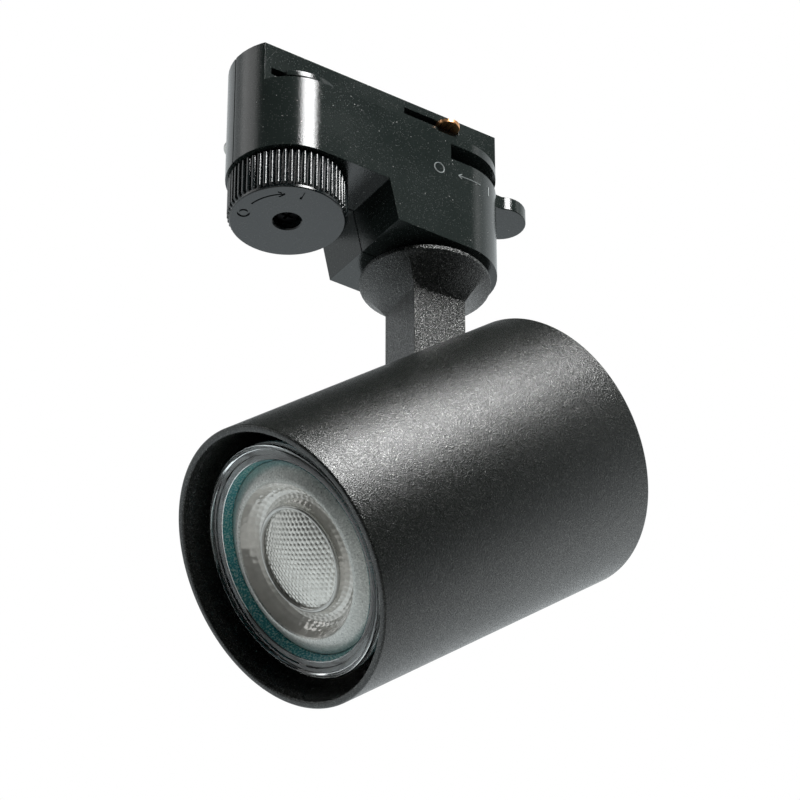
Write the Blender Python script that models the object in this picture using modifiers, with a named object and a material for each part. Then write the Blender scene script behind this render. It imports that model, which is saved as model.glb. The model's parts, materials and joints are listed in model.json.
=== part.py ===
"""Track spotlight: a single-circuit track adapter, a swivel arm and a tilting tube with a GU10 lamp.

Frame: metres, +Z up, origin at the centre of the rail's top face. +X runs from the lock knob
towards the contact lever, and +Y is the side that the housing screws enter from.
"""

import math

import bmesh
import bpy
from mathutils import Matrix, Vector

MM = 0.001

# Adapter housing
BODY_LENGTH = 64.8 * MM
BODY_WIDTH = 26.8 * MM
BODY_DEPTH = 38.1 * MM
KNOB_END_DEPTH = 28.2 * MM
RAIL_WIDTH = 15.0 * MM
RAIL_DEPTH = 10.0 * MM
RAIL_WALL = 0.8 * MM
STEP_TOP_X = -1.8 * MM
STEP_FOOT_X = 0.5 * MM
SEAM_Y = 0.8 * MM
SEAM_GAP = 0.3 * MM
END_RADIUS = BODY_WIDTH / 2
END_X = BODY_LENGTH / 2 - END_RADIUS

# Lock knob and lock tab, on a vertical axis through the left round end
LOCK_AXIS = Vector((-END_X, 0, 0))
TAB_RADIUS = 10.9 * MM
TAB_WIDTH = 12.6 * MM
TAB_TOP = -6.3 * MM
TAB_THICKNESS = 1.4 * MM
TAB_SLOT_TOP = -6.1 * MM
TAB_SLOT_BOTTOM = -7.9 * MM
TAB_SLOT_SWEEP = 9.4 * MM
TAB_SLOT_STOP = 7.0 * MM
TAB_SPACE_RADIUS = 12.0 * MM
LOCK_SHAFT_RADIUS = 4.0 * MM
KNOB_RADIUS = 12.85 * MM
KNOB_TOP = -28.6 * MM
KNOB_BOTTOM = -38.5 * MM
KNOB_HOLE_RADIUS = 3.0 * MM
KNOB_HOLE_TOP = KNOB_BOTTOM + 3.4 * MM
KNOB_SOCKET_BOTTOM = KNOB_BOTTOM + 5.0 * MM
KNOB_HUB_RADIUS = 6.4 * MM
KNOB_SHELL = 1.6 * MM
RIB_COUNT = 56
RIB_DEPTH = 0.6 * MM

# Contact rotor and lever, on a vertical axis through the right round end
ROTOR_AXIS = Vector((END_X, 0, 0))
ROTOR_RADIUS = 5.6 * MM
ROTOR_TOP = -1.6 * MM
ROTOR_BOTTOM = -17.0 * MM
LEVER_TOP = -12.5 * MM
LEVER_BOTTOM = -15.9 * MM
LEVER_WIDTH = 8.4 * MM
LEVER_TIP = Vector((37.0 * MM, SEAM_Y))
LEVER_TIP_RADIUS = 5.75 * MM
LEVER_SLOT_MARGIN = 0.7 * MM
CONTACT_TOP = -2.25 * MM
CONTACT_BOTTOM = -3.35 * MM
CONTACT_SLOT_TOP = -1.9 * MM
CONTACT_SLOT_BOTTOM = -3.65 * MM
CONTACT_WIDTH = 5.4 * MM
CONTACT_REACH = 10.4 * MM
CONTACT_OFFSET = -1.8 * MM
CONTACT_START = 1.4 * MM
CONTACT_TURNS = (("contact_near", math.pi), ("contact_far", 0.0))
CONTACT_SPACE_RADIUS = 11.0 * MM
CONTACT_SLOT_SWEEP = 13.2 * MM
CONTACT_SLOT_FAR_SWEEP = 9.9 * MM
CONTACT_SLOT_STOP = 1.3 * MM

# Swivel between the adapter and the arm
PAN_X = 16.3 * MM
NIPPLE_RADIUS = 5.0 * MM
NIPPLE_BORE_RADIUS = 3.3 * MM
FLOOR_THICKNESS = 2.2 * MM
CHAMBER_LOW = -BODY_DEPTH + FLOOR_THICKNESS
CHAMBER_HIGH = ROTOR_BOTTOM - 0.5 * MM
CHAMBER_WALL = 2.0 * MM
CHAMBER_START_X = STEP_FOOT_X + 5.5 * MM
SPACER_RADIUS = 9.0 * MM
WASHER_RADIUS = 8.6 * MM
WASHER_THICKNESS = 0.8 * MM
NUT_RADIUS = 8.0 * MM
NUT_HEIGHT = 3.5 * MM
DISC_TOP = -40.3 * MM
DISC_BOTTOM = -41.5 * MM
DISC_RADIUS = 14.2 * MM
DISC_EDGE = 0.3 * MM
STEM_TOP = -47.4 * MM
STEM_DEPTH = 12.4 * MM
STEM_WIDTH = 13.0 * MM
FLARE_CURVE = 1.25
NIPPLE_BOTTOM = DISC_TOP - 5.5 * MM
WIRE_BORE_RADIUS = 2.6 * MM
WIRE_EXIT_RADIUS = 2.4 * MM
PAN_HEADING = math.radians(174.7)

# Tilt pivot and head
TILT_DOWN = math.radians(36.82)
PIVOT_Z = -70.5 * MM
PIVOT_ABOVE_AXIS = 21.0 * MM
TUBE_RADIUS = 30.0 * MM
TUBE_WALL = 1.6 * MM
TUBE_LENGTH = 78.2 * MM
PIVOT_FROM_FRONT = 58.0 * MM
TUBE_FRONT = -PIVOT_FROM_FRONT
TUBE_REAR = TUBE_LENGTH - PIVOT_FROM_FRONT
SLOT_WIDTH = 14.0 * MM
SLOT_MARGIN = 1.0 * MM
SHOULDER_RADIUS = 21.0 * MM
SHOULDER_FRONT = TUBE_FRONT + 64.0 * MM
SHOULDER_THICKNESS = 1.7 * MM
SHOULDER_BACK = SHOULDER_FRONT + SHOULDER_THICKNESS
AXIS_X = -PIVOT_ABOVE_AXIS
TUBE_INNER = TUBE_RADIUS - TUBE_WALL
TUBE_EDGE = 0.25 * MM
PLATE_THICKNESS = 1.5 * MM
PLATE_WIRE_HOLE_RADIUS = 6.0 * MM
EAR_INNER = 7.6 * MM
EAR_THICKNESS = 1.6 * MM
EAR_TOP = 4.8 * MM
EAR_BOTTOM = -7.0 * MM
EAR_FRONT = -5.6 * MM
EAR_SLOT_BOTTOM = -10.0 * MM
EAR_SLOT_TOP = 7.0 * MM
BOLT_RADIUS = 2.0 * MM
BOLT_HEAD_RADIUS = 3.6 * MM
BOLT_HEAD_HEIGHT = 2.6 * MM
BOLT_BEYOND_EAR = 4.0 * MM
BOLT_PAST_NUT = 0.6 * MM
TILT_NUT_RADIUS = 4.0 * MM
FRICTION_WASHER_RADIUS = 5.2 * MM
CAP_SETBACK = 1.6 * MM
CAP_THICKNESS = 2.2 * MM
CAP_POST_RADIUS = 3.6 * MM

# Lamp, with its front glass set back in the tube
LAMP_RADIUS = 24.8 * MM
LAMP_SETBACK = 3.7 * MM
LAMP_FRONT = TUBE_FRONT + LAMP_SETBACK
LAMP_LENGTH = 48.0 * MM
LAMP_BACK = LAMP_FRONT + LAMP_LENGTH
LAMP_RIM_DEPTH = 3.2 * MM
LAMP_NECK = LAMP_FRONT + 37.0 * MM
LAMP_WALL = 1.2 * MM
LAMP_CURVE = 0.8
LAMP_LENS_RADIUS = LAMP_RADIUS - 2.8 * MM
LAMP_LENS_FRONT = LAMP_FRONT + 1.0 * MM
LAMP_LENS_BACK = LAMP_FRONT + 2.6 * MM
LAMP_BOARD_FRONT = LAMP_FRONT + 16.0 * MM
LAMP_BOARD_THICKNESS = 1.6 * MM
LAMP_BOARD_RADIUS = 15.6 * MM
LAMP_BOARD_HOLE_RADIUS = 2.0 * MM
LAMP_BASE_RADIUS = 12.4 * MM
LAMP_BASE_EDGE = 0.6 * MM
PIN_SPACING = 10.0 * MM
PIN_RADIUS = 1.5 * MM
PIN_HEAD_RADIUS = 2.4 * MM
PIN_HEAD_LENGTH = 2.2 * MM
PIN_LENGTH = 6.5 * MM
PIN_SEAT = 3.0 * MM

# Screws
SCREW_HEAD_RADIUS = 2.5 * MM
SCREW_SHANK_RADIUS = 1.4 * MM
SCREW_HEAD_HEIGHT = 1.6 * MM
SCREW_POINTS = ((2.4 * MM, -30.5 * MM), (-27.5 * MM, -18.0 * MM), (2.0 * MM, -6.9 * MM))
SCREW_FACES = (END_RADIUS, END_RADIUS, RAIL_WIDTH / 2)
SCREW_SINK = 1.2 * MM
SCREW_PAST_SEAM = 3.6 * MM
PLATE_SCREW_OFFSET = 17.4 * MM
CAP_SCREW_OFFSET = 18.0 * MM
HOLDER_SCREW_OFFSET = 9.2 * MM

# Fits and facets
GAP = 0.3 * MM
OVERCUT = 1.0 * MM
CUT_STEP = 0.05 * MM
REACH = 100 * MM
ARC_STEPS = 24
ROUND_STEPS = 44
TUBE_STEPS = 96
LAMP_STEPS = 60
SMALL_STEPS = 16
MERGE = 0.00001
SMOOTH_ANGLE = math.radians(35)
XZ_PLANE = Matrix.Rotation(math.radians(90), 4, "X")

# Where the pieces behind the lamp sit along the tube
PLATE_LOW = SHOULDER_BACK + GAP
PLATE_HIGH = PLATE_LOW + PLATE_THICKNESS
CAP_HIGH = TUBE_REAR - CAP_SETBACK
CAP_LOW = CAP_HIGH - CAP_THICKNESS
HOLDER_RADIUS = 12.4 * MM
HOLDER_LOW = LAMP_BACK + GAP
HOLDER_HIGH = PLATE_LOW - GAP
HOLDER_HOLE_DEPTH = 5.0 * MM
HOLDER_FACE = 2.0 * MM
HOLDER_TRACK_DEPTH = 7.2 * MM
HOLDER_SLOT_HALF = 1.9 * MM
HOLDER_SLOT_END = 24
KEYHOLE_TURN = 40

# Wires
WIRE_RADIUS = 0.8 * MM
ARM_WIRE_SPACING = 2.4 * MM
HOLDER_WIRE_SPACING = 4.8 * MM


# ---------------------------------------------------------------- scene and helpers


def clear_scene():
    for obj in list(bpy.data.objects):
        bpy.data.objects.remove(obj)


def new_collection(name):
    collection = bpy.data.collections.new(name)
    bpy.context.scene.collection.children.link(collection)
    return collection


def material(name, colour, roughness, metallic=0.0):
    made = bpy.data.materials.new(name)
    made.use_nodes = True
    shader = made.node_tree.nodes["Principled BSDF"]
    shader.inputs["Base Color"].default_value = (*colour, 1.0)
    shader.inputs["Roughness"].default_value = roughness
    shader.inputs["Metallic"].default_value = metallic
    return made


def frame_empty(name, parent=None, location=(0, 0, 0), rotation=(0, 0, 0)):
    empty = bpy.data.objects.new(name, None)
    empty.parent = parent
    empty.location = location
    empty.rotation_euler = rotation
    PARTS.objects.link(empty)
    return empty


def add_part(name, mesh, look, parent=None):
    """A named sub-part with its own material."""
    mesh.materials.clear()
    mesh.materials.append(look)
    mesh.shade_smooth()
    mesh.set_sharp_from_angle(angle=SMOOTH_ANGLE)
    obj = bpy.data.objects.new(name, mesh)
    obj.parent = parent
    PARTS.objects.link(obj)
    return obj


def add_cutter(name, mesh, parent=None):
    obj = bpy.data.objects.new(name, mesh)
    obj.parent = parent
    obj.hide_render = True
    obj.display_type = "WIRE"
    CUTTERS.objects.link(obj)
    return obj


def boolean(obj, other, operation):
    modifier = obj.modifiers.new(operation.title() + " " + other.name, "BOOLEAN")
    modifier.operation = operation
    modifier.solver = "EXACT"
    modifier.object = other


def cut(obj, *cutters):
    for cutter in cutters:
        boolean(obj, cutter, "DIFFERENCE")


def mesh_from(builder):
    """A mesh whose faces are made by builder, a function that fills a bmesh."""
    work = bmesh.new()
    builder(work)
    mesh = bpy.data.meshes.new("shape")
    work.to_mesh(mesh)
    work.free()
    return mesh


def box_mesh(low, high):
    low, high = Vector(low), Vector(high)
    size = high - low
    placed = Matrix.Translation((low + high) / 2) @ Matrix.Diagonal((*size, 1))
    return mesh_from(lambda work: bmesh.ops.create_cube(work, size=1, matrix=placed))


def rod_mesh(radius, low, high, centre=(0, 0), steps=ROUND_STEPS, turn=None):
    """A round rod along Z from low to high, turned afterwards by a matrix if one is given."""
    placed = Matrix.Translation((centre[0], centre[1], (low + high) / 2))
    if turn is not None:
        placed = turn @ placed

    def build(work):
        bmesh.ops.create_cone(
            work,
            cap_ends=True,
            segments=steps,
            radius1=radius,
            radius2=radius,
            depth=high - low,
            matrix=placed,
        )

    return mesh_from(build)


def arc(centre, radius, start, end, steps=ARC_STEPS):
    """Points on an arc, both ends included, with angles in degrees."""
    points = []
    for i in range(steps + 1):
        angle = math.radians(start + (end - start) * i / steps)
        points.append((centre[0] + radius * math.cos(angle), centre[1] + radius * math.sin(angle)))
    return points


def prism_mesh(outline, low, high, turn=None):
    """A flat outline given a thickness from low to high along Z."""
    curve = bpy.data.curves.new("outline", "CURVE")
    curve.dimensions = "2D"
    curve.fill_mode = "BOTH"
    curve.extrude = (high - low) / 2
    spline = curve.splines.new("POLY")
    spline.points.add(len(outline) - 1)
    for point, (x, y) in zip(spline.points, outline):
        point.co = (x, y, 0, 1)
    spline.use_cyclic_u = True
    drawn = bpy.data.objects.new("outline", curve)
    bpy.context.scene.collection.objects.link(drawn)
    graph = bpy.context.evaluated_depsgraph_get()
    mesh = bpy.data.meshes.new_from_object(drawn.evaluated_get(graph))
    bpy.data.objects.remove(drawn)
    work = bmesh.new()
    work.from_mesh(mesh)
    bmesh.ops.remove_doubles(work, verts=work.verts, dist=MERGE)
    bmesh.ops.recalc_face_normals(work, faces=work.faces)
    work.to_mesh(mesh)
    work.free()
    mesh.transform(Matrix.Translation((0, 0, (low + high) / 2)))
    if turn is not None:
        mesh.transform(turn)
    return mesh


def turned_part(name, profile, look, parent=None, closed=False, steps=ROUND_STEPS):
    """A turned piece about its own Z axis. The profile holds (radius, height) from the top down."""
    mesh = bpy.data.meshes.new(name)
    edges = [(i, i + 1) for i in range(len(profile) - 1)]
    if closed:
        edges.append((len(profile) - 1, 0))
    mesh.from_pydata([(radius, 0, height) for radius, height in profile], edges, [])
    obj = add_part(name, mesh, look, parent)
    turn_about_z(obj, steps)
    return obj


def turn_about_z(obj, steps):
    screw = obj.modifiers.new("Turn", "SCREW")
    screw.axis = "Z"
    screw.steps = steps
    screw.render_steps = steps
    screw.use_merge_vertices = True
    screw.merge_threshold = MERGE
    screw.use_smooth_shade = True


def ring_profile(inner, outer, low, high):
    return [(outer, high), (outer, low), (inner, low), (inner, high)]


def rod_profile(radius, low, high):
    return [(0, high), (radius, high), (radius, low), (0, low)]


def stadium(length, width):
    radius = width / 2
    centre = length / 2 - radius
    return arc((centre, 0), radius, -90, 90) + arc((-centre, 0), radius, 90, 270)


# ---------------------------------------------------------------- adapter housing


def housing_cutters():
    """The cuts that both housing halves share."""
    half_rail = RAIL_WIDTH / 2
    inside = half_rail - RAIL_WALL
    low, high = -BODY_DEPTH - OVERCUT, CHAMBER_LOW + OVERCUT
    swivel_bore = rod_mesh(NIPPLE_RADIUS + GAP, low, high, (PAN_X, 0))
    cutters = [
        add_cutter("ledge_near_cut", box_mesh((-REACH, -REACH, -RAIL_DEPTH), (REACH, -half_rail, REACH))),
        add_cutter("ledge_far_cut", box_mesh((-REACH, half_rail, -RAIL_DEPTH), (REACH, REACH, REACH))),
        add_cutter("underside_cut", underside_mesh()),
        add_cutter("swivel_cut", swivel_bore),
    ]
    cutters += lock_cutters(inside)
    cutters += contact_cutters(inside)
    cutters += chamber_cutters()
    return cutters


def underside_mesh():
    """Cuts the knob end shallow, up to the sloping step."""
    slope = (STEP_FOOT_X - STEP_TOP_X) / (BODY_DEPTH - KNOB_END_DEPTH)
    below = 10 * MM
    outline = [
        (-REACH, -KNOB_END_DEPTH),
        (-REACH, -BODY_DEPTH - below),
        (STEP_FOOT_X + slope * below, -BODY_DEPTH - below),
        (STEP_TOP_X, -KNOB_END_DEPTH),
    ]
    return prism_mesh(outline, -REACH, REACH, XZ_PLANE)


def lock_cutters(inside):
    """The space that the lock tab turns in, its two side slots, and the shaft's bore."""
    x = LOCK_AXIS.x
    low, high = TAB_SLOT_BOTTOM - CUT_STEP, TAB_SLOT_TOP + CUT_STEP
    swing = add_cutter("tab_swing_cut", rod_mesh(TAB_SPACE_RADIUS, low, high, (x, 0)))
    strip = add_cutter("tab_strip", box_mesh((-REACH, -inside, -REACH), (REACH, inside, REACH)))
    boolean(swing, strip, "INTERSECT")
    wall = inside - OVERCUT
    low, high = TAB_SLOT_BOTTOM, TAB_SLOT_TOP
    near = box_mesh((x - TAB_SLOT_SWEEP, -REACH, low), (x + TAB_SLOT_STOP, -wall, high))
    far = box_mesh((x - TAB_SLOT_STOP, wall, low), (x + TAB_SLOT_SWEEP, REACH, high))
    bore = rod_mesh(LOCK_SHAFT_RADIUS + GAP, -KNOB_END_DEPTH - OVERCUT, high - OVERCUT, (x, 0))
    return [
        swing,
        add_cutter("tab_slot_near_cut", near),
        add_cutter("tab_slot_far_cut", far),
        add_cutter("shaft_bore_cut", bore),
    ]


def contact_cutters(inside):
    """The rotor's bore, the space and side slots of the contacts, and the lever's slot."""
    x = ROTOR_AXIS.x
    wall = inside - OVERCUT
    low, high = CONTACT_SLOT_BOTTOM, CONTACT_SLOT_TOP
    space = rod_mesh(CONTACT_SPACE_RADIUS, low - CUT_STEP, high + CUT_STEP, (x, 0))
    swing = add_cutter("contact_swing_cut", space)
    strip = add_cutter("contact_strip", box_mesh((-REACH, -inside, -REACH), (REACH, inside, REACH)))
    boolean(swing, strip, "INTERSECT")
    near = box_mesh((x - CONTACT_SLOT_SWEEP, -REACH, low), (x + CONTACT_SLOT_STOP, -wall, high))
    far = box_mesh((x - CONTACT_SLOT_STOP, wall, low), (x + CONTACT_SLOT_FAR_SWEEP, REACH, high))
    bore = rod_mesh(ROTOR_RADIUS + GAP, ROTOR_BOTTOM - OVERCUT, ROTOR_TOP + GAP, (x, 0))
    slot_side = LEVER_WIDTH / 2 + LEVER_SLOT_MARGIN
    lever = box_mesh(
        (x - slot_side, -REACH, LEVER_BOTTOM - GAP),
        (REACH, slot_side, LEVER_TOP + GAP),
    )
    return [
        swing,
        add_cutter("contact_slot_near_cut", near),
        add_cutter("contact_slot_far_cut", far),
        add_cutter("rotor_bore_cut", bore),
        add_cutter("lever_slot_cut", lever),
    ]


def chamber_cutters():
    """The wiring chamber over the swivel."""
    radius = END_RADIUS - CHAMBER_WALL
    outline = arc(ROTOR_AXIS.xy, radius, -90, 90)
    outline += [(CHAMBER_START_X, radius), (CHAMBER_START_X, -radius)]
    return [add_cutter("chamber_cut", prism_mesh(outline, CHAMBER_LOW, CHAMBER_HIGH))]


def housing_half(name, side, look, shared):
    """side is -1 for the half at -Y and +1 for the half at +Y."""
    half = add_part(name, prism_mesh(stadium(BODY_LENGTH, BODY_WIDTH), -BODY_DEPTH, 0), look)
    edge = SEAM_Y + side * SEAM_GAP / 2
    low = (-REACH, min(edge, -side * REACH), -REACH)
    high = (REACH, max(edge, -side * REACH), REACH)
    cut(half, add_cutter(name + "_split", box_mesh(low, high)))
    cut(half, *shared)
    return half


def screw_seat(index):
    """The y of the screw head's outer face, on the flat or curved far side."""
    x, _ = SCREW_POINTS[index]
    over = max(0.0, abs(x) - END_X)
    surface = math.sqrt(END_RADIUS**2 - over**2)
    return min(surface, SCREW_FACES[index]) - SCREW_SINK


def housing_screws(near, far, look):
    for index, (x, z) in enumerate(SCREW_POINTS):
        seat = screw_seat(index)
        length = seat + SCREW_PAST_SEAM
        place = Matrix.Translation((x, seat, z)) @ Matrix.Rotation(math.radians(-90), 4, "X")
        bore = rod_mesh(SCREW_SHANK_RADIUS + GAP, -length - GAP, REACH, steps=SMALL_STEPS, turn=place)
        low = -SCREW_HEAD_HEIGHT - GAP
        seat_bore = rod_mesh(SCREW_HEAD_RADIUS + GAP, low, REACH, steps=SMALL_STEPS, turn=place)
        hole = add_cutter(f"screw_hole_{index + 1}", bore)
        sink = add_cutter(f"screw_sink_{index + 1}", seat_bore)
        cut(near, hole)
        cut(far, hole, sink)
        profile = [
            (0, 0),
            (SCREW_HEAD_RADIUS, 0),
            (SCREW_HEAD_RADIUS, -SCREW_HEAD_HEIGHT),
            (SCREW_SHANK_RADIUS, -SCREW_HEAD_HEIGHT),
            (SCREW_SHANK_RADIUS, -length),
            (0, -length),
        ]
        screw = turned_part(f"housing_screw_{index + 1}", profile, look, steps=SMALL_STEPS)
        screw.matrix_world = place


# ---------------------------------------------------------------- lock knob and tab


def knob_outline():
    """A round outline with small rounded ribs."""
    points = []
    per_rib = 4
    count = RIB_COUNT * per_rib
    for i in range(count):
        angle = 2 * math.pi * i / count
        radius = KNOB_RADIUS - (RIB_DEPTH if i % per_rib >= per_rib / 2 else 0)
        points.append((radius * math.cos(angle), radius * math.sin(angle)))
    return points


def lock_knob(frame, look):
    knob = add_part("lock_knob", prism_mesh(knob_outline(), KNOB_BOTTOM, KNOB_TOP), look, frame)
    rim = KNOB_RADIUS - RIB_DEPTH - KNOB_SHELL
    cup = turned_cutter(
        "knob_cup_cut",
        ring_profile(KNOB_HUB_RADIUS, rim, KNOB_BOTTOM + 2 * KNOB_SHELL, KNOB_TOP + OVERCUT),
        frame,
        closed=True,
    )
    socket = turned_cutter(
        "knob_socket_cut",
        rod_profile(LOCK_SHAFT_RADIUS + GAP, KNOB_SOCKET_BOTTOM, KNOB_TOP + OVERCUT),
        frame,
    )
    hole = turned_cutter(
        "knob_hole_cut",
        rod_profile(KNOB_HOLE_RADIUS, KNOB_BOTTOM - OVERCUT, KNOB_HOLE_TOP),
        frame,
    )
    shank = turned_cutter(
        "knob_shank_cut",
        rod_profile(SCREW_SHANK_RADIUS + GAP, KNOB_HOLE_TOP - OVERCUT, KNOB_SOCKET_BOTTOM + OVERCUT),
        frame,
    )
    cut(knob, cup, socket, hole, shank)


def turned_cutter(name, profile, parent=None, closed=False, steps=ROUND_STEPS):
    mesh = bpy.data.meshes.new(name)
    edges = [(i, i + 1) for i in range(len(profile) - 1)]
    if closed:
        edges.append((len(profile) - 1, 0))
    mesh.from_pydata([(radius, 0, height) for radius, height in profile], edges, [])
    cutter = add_cutter(name, mesh, parent)
    turn_about_z(cutter, steps)
    return cutter


def lock_tab(frame, look):
    """The tab plate and the shaft that joins it to the knob, as one moulded piece."""
    half = TAB_WIDTH / 2
    lean = math.degrees(math.acos(half / TAB_RADIUS))
    outline = arc((0, 0), TAB_RADIUS, lean, 180 - lean, 12)
    outline += arc((0, 0), TAB_RADIUS, 180 + lean, 360 - lean, 12)
    plate = add_part("lock_tab", prism_mesh(outline, TAB_TOP - TAB_THICKNESS, TAB_TOP), look, frame)
    shaft_low = KNOB_SOCKET_BOTTOM + GAP
    pilot_high = shaft_low + 7.0 * MM
    shaft = rod_mesh(LOCK_SHAFT_RADIUS, shaft_low, TAB_TOP - TAB_THICKNESS / 2)
    boolean(plate, add_cutter("lock_shaft", shaft, frame), "UNION")
    pilot = add_cutter(
        "lock_shaft_pilot",
        rod_mesh(SCREW_SHANK_RADIUS + GAP, shaft_low - OVERCUT, pilot_high, steps=SMALL_STEPS),
        frame,
    )
    cut(plate, pilot)


def lock_fasteners(frame, steel):
    head_top = KNOB_HOLE_TOP - GAP
    tip = head_top + 8.0 * MM
    profile = [
        (0, tip),
        (SCREW_SHANK_RADIUS, tip),
        (SCREW_SHANK_RADIUS, head_top),
        (SCREW_HEAD_RADIUS, head_top),
        (SCREW_HEAD_RADIUS, head_top - SCREW_HEAD_HEIGHT),
        (0, head_top - SCREW_HEAD_HEIGHT),
    ]
    turned_part("knob_screw", profile, steel, frame, steps=SMALL_STEPS)
    washer_high = KNOB_TOP - GAP
    washer_low = washer_high - 0.6 * MM
    inner, outer = KNOB_HUB_RADIUS + GAP, KNOB_RADIUS - RIB_DEPTH - KNOB_SHELL - GAP
    turned_part(
        "lock_spring_washer",
        ring_profile(inner, outer, washer_low, washer_high),
        steel,
        frame,
        closed=True,
    )


# ---------------------------------------------------------------- contact rotor


def contact_lever(frame, look):
    lever = add_part(
        "contact_lever",
        rod_mesh(ROTOR_RADIUS, ROTOR_BOTTOM, ROTOR_TOP),
        look,
        frame,
    )
    half = LEVER_WIDTH / 2
    tip = LEVER_TIP - ROTOR_AXIS.xy
    near = math.degrees(math.asin((half + tip.y) / LEVER_TIP_RADIUS))
    far = math.degrees(math.asin((half - tip.y) / LEVER_TIP_RADIUS))
    outline = [(0, -half)] + arc(tip, LEVER_TIP_RADIUS, near - 180, 180 - far) + [(0, half)]
    blade = add_cutter("lever_blade", prism_mesh(outline, LEVER_BOTTOM, LEVER_TOP), frame)
    boolean(lever, blade, "UNION")
    for name, turn in CONTACT_TURNS:
        pocket = add_cutter(name + "_pocket", contact_mesh(GAP), frame)
        pocket.rotation_euler = (0, 0, turn)
        cut(lever, pocket)


def contact_mesh(grow):
    """A contact blade that starts inside the rotor, grown on every side for its pocket."""
    half = CONTACT_WIDTH / 2 + grow
    start = CONTACT_START - grow
    outline = [(-half, start), (half, start)]
    outline += arc((0, CONTACT_REACH - CONTACT_WIDTH / 2), half, 0, 180, 12)
    mesh = prism_mesh(outline, CONTACT_BOTTOM - grow, CONTACT_TOP + grow)
    mesh.transform(Matrix.Translation((-CONTACT_OFFSET, 0, 0)))
    return mesh


def contacts(frame, look):
    """One spring contact on each side, half a turn apart."""
    for name, turn in CONTACT_TURNS:
        contact = add_part(name, contact_mesh(0.0), look, frame)
        contact.rotation_euler = (0, 0, turn)


# ---------------------------------------------------------------- swivel and arm


def swivel_hardware(arm_frame, steel, plastic):
    bore = NIPPLE_RADIUS + GAP
    washer_low = CHAMBER_LOW + GAP
    washer_high = washer_low + WASHER_THICKNESS
    nut_low = washer_high + GAP
    turned_part(
        "swivel_spacer",
        ring_profile(bore, SPACER_RADIUS, DISC_TOP + GAP, -BODY_DEPTH - GAP),
        plastic,
        arm_frame,
        closed=True,
    )
    turned_part(
        "swivel_washer",
        ring_profile(bore, WASHER_RADIUS, washer_low, washer_high),
        steel,
        arm_frame,
        closed=True,
    )
    hexagon = arc((0, 0), NUT_RADIUS, 0, 300, 5)
    nut = add_part("swivel_nut", prism_mesh(hexagon, nut_low, nut_low + NUT_HEIGHT), steel, arm_frame)
    cut(nut, turned_cutter("nut_bore_cut", rod_profile(bore, -REACH, 0), arm_frame))
    turned_part(
        "swivel_nipple",
        ring_profile(NIPPLE_BORE_RADIUS, NIPPLE_RADIUS, NIPPLE_BOTTOM, nut_low + NUT_HEIGHT + 1.5 * MM),
        steel,
        arm_frame,
        closed=True,
    )


def rectangle_radius(angle):
    """Distance from the stem's centre to its side at an angle."""
    along = abs(math.cos(angle)) / (STEM_DEPTH / 2)
    across = abs(math.sin(angle)) / (STEM_WIDTH / 2)
    return 1 / max(along, across)


def flare_angles():
    """Even angles round the arm, with the stem's four corners among them."""
    corner = math.atan2(STEM_WIDTH, STEM_DEPTH)
    stops = [-corner, corner, math.pi - corner, math.pi + corner, 2 * math.pi - corner]
    per_side = 12
    angles = []
    for start, end in zip(stops, stops[1:]):
        angles += [start + (end - start) * i / per_side for i in range(per_side)]
    return angles


def arm_mesh():
    """A round disc that flares down into a rectangular stem: a loft, since its sections are unlike."""
    angles = flare_angles()
    sections = [(DISC_TOP, 0.0, -DISC_EDGE), (DISC_TOP - DISC_EDGE, 0.0, 0.0), (DISC_BOTTOM, 0.0, 0.0)]
    flare_steps = 5
    for i in range(1, flare_steps + 1):
        part = i / flare_steps
        drop = DISC_BOTTOM + (STEM_TOP - DISC_BOTTOM) * part**FLARE_CURVE
        sections.append((drop, part, 0.0))
    sections.append((PIVOT_Z, 1.0, 0.0))

    def build(work):
        rings = []
        for z, blend, inset in sections:
            ring = []
            for angle in angles:
                radius = (DISC_RADIUS + inset) * (1 - blend) + rectangle_radius(angle) * blend
                ring.append(work.verts.new((radius * math.cos(angle), radius * math.sin(angle), z)))
            rings.append(ring)
        work.faces.new(rings[0])
        work.faces.new(reversed(rings[-1]))
        for upper, lower in zip(rings, rings[1:]):
            bridge(work, upper, lower)
        bmesh.ops.triangulate(work, faces=[face for face in work.faces if len(face.verts) > 4])

    return mesh_from(build)


def bridge(work, upper, lower):
    count = len(upper)
    for i in range(count):
        j = (i + 1) % count
        work.faces.new((upper[i], lower[i], lower[j], upper[j]))


def swivel_arm(frame, look):
    arm = add_part("swivel_arm", arm_mesh(), look, frame)
    across = Matrix.Translation((0, 0, PIVOT_Z)) @ Matrix.Rotation(math.radians(90), 4, "X")
    knuckle = add_cutter(
        "arm_knuckle",
        rod_mesh(STEM_DEPTH / 2, -STEM_WIDTH / 2, STEM_WIDTH / 2, steps=ROUND_STEPS, turn=across),
        frame,
    )
    boolean(arm, knuckle, "UNION")
    bolt_hole = add_cutter(
        "arm_bolt_cut",
        rod_mesh(BOLT_RADIUS + GAP, -REACH, REACH, steps=SMALL_STEPS, turn=across),
        frame,
    )
    nipple_bore = turned_cutter(
        "arm_nipple_cut",
        rod_profile(NIPPLE_RADIUS + GAP, NIPPLE_BOTTOM - GAP, DISC_TOP + OVERCUT),
        frame,
    )
    wire_low = PIVOT_Z + 6.5 * MM
    wire_profile = rod_profile(WIRE_BORE_RADIUS, wire_low, DISC_TOP)
    wire_bore = turned_cutter("arm_wire_cut", wire_profile, frame, steps=SMALL_STEPS)
    exit_z = wire_low + WIRE_BORE_RADIUS
    backward = Matrix.Translation((0, 0, exit_z)) @ Matrix.Rotation(math.radians(-90), 4, "Y")
    exit_rod = rod_mesh(WIRE_EXIT_RADIUS, 0, REACH, steps=SMALL_STEPS, turn=backward)
    wire_exit = add_cutter("arm_exit_cut", exit_rod, frame)
    cut(arm, bolt_hole, nipple_bore, wire_bore, wire_exit)


# ---------------------------------------------------------------- head: tube, bracket, cap


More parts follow.
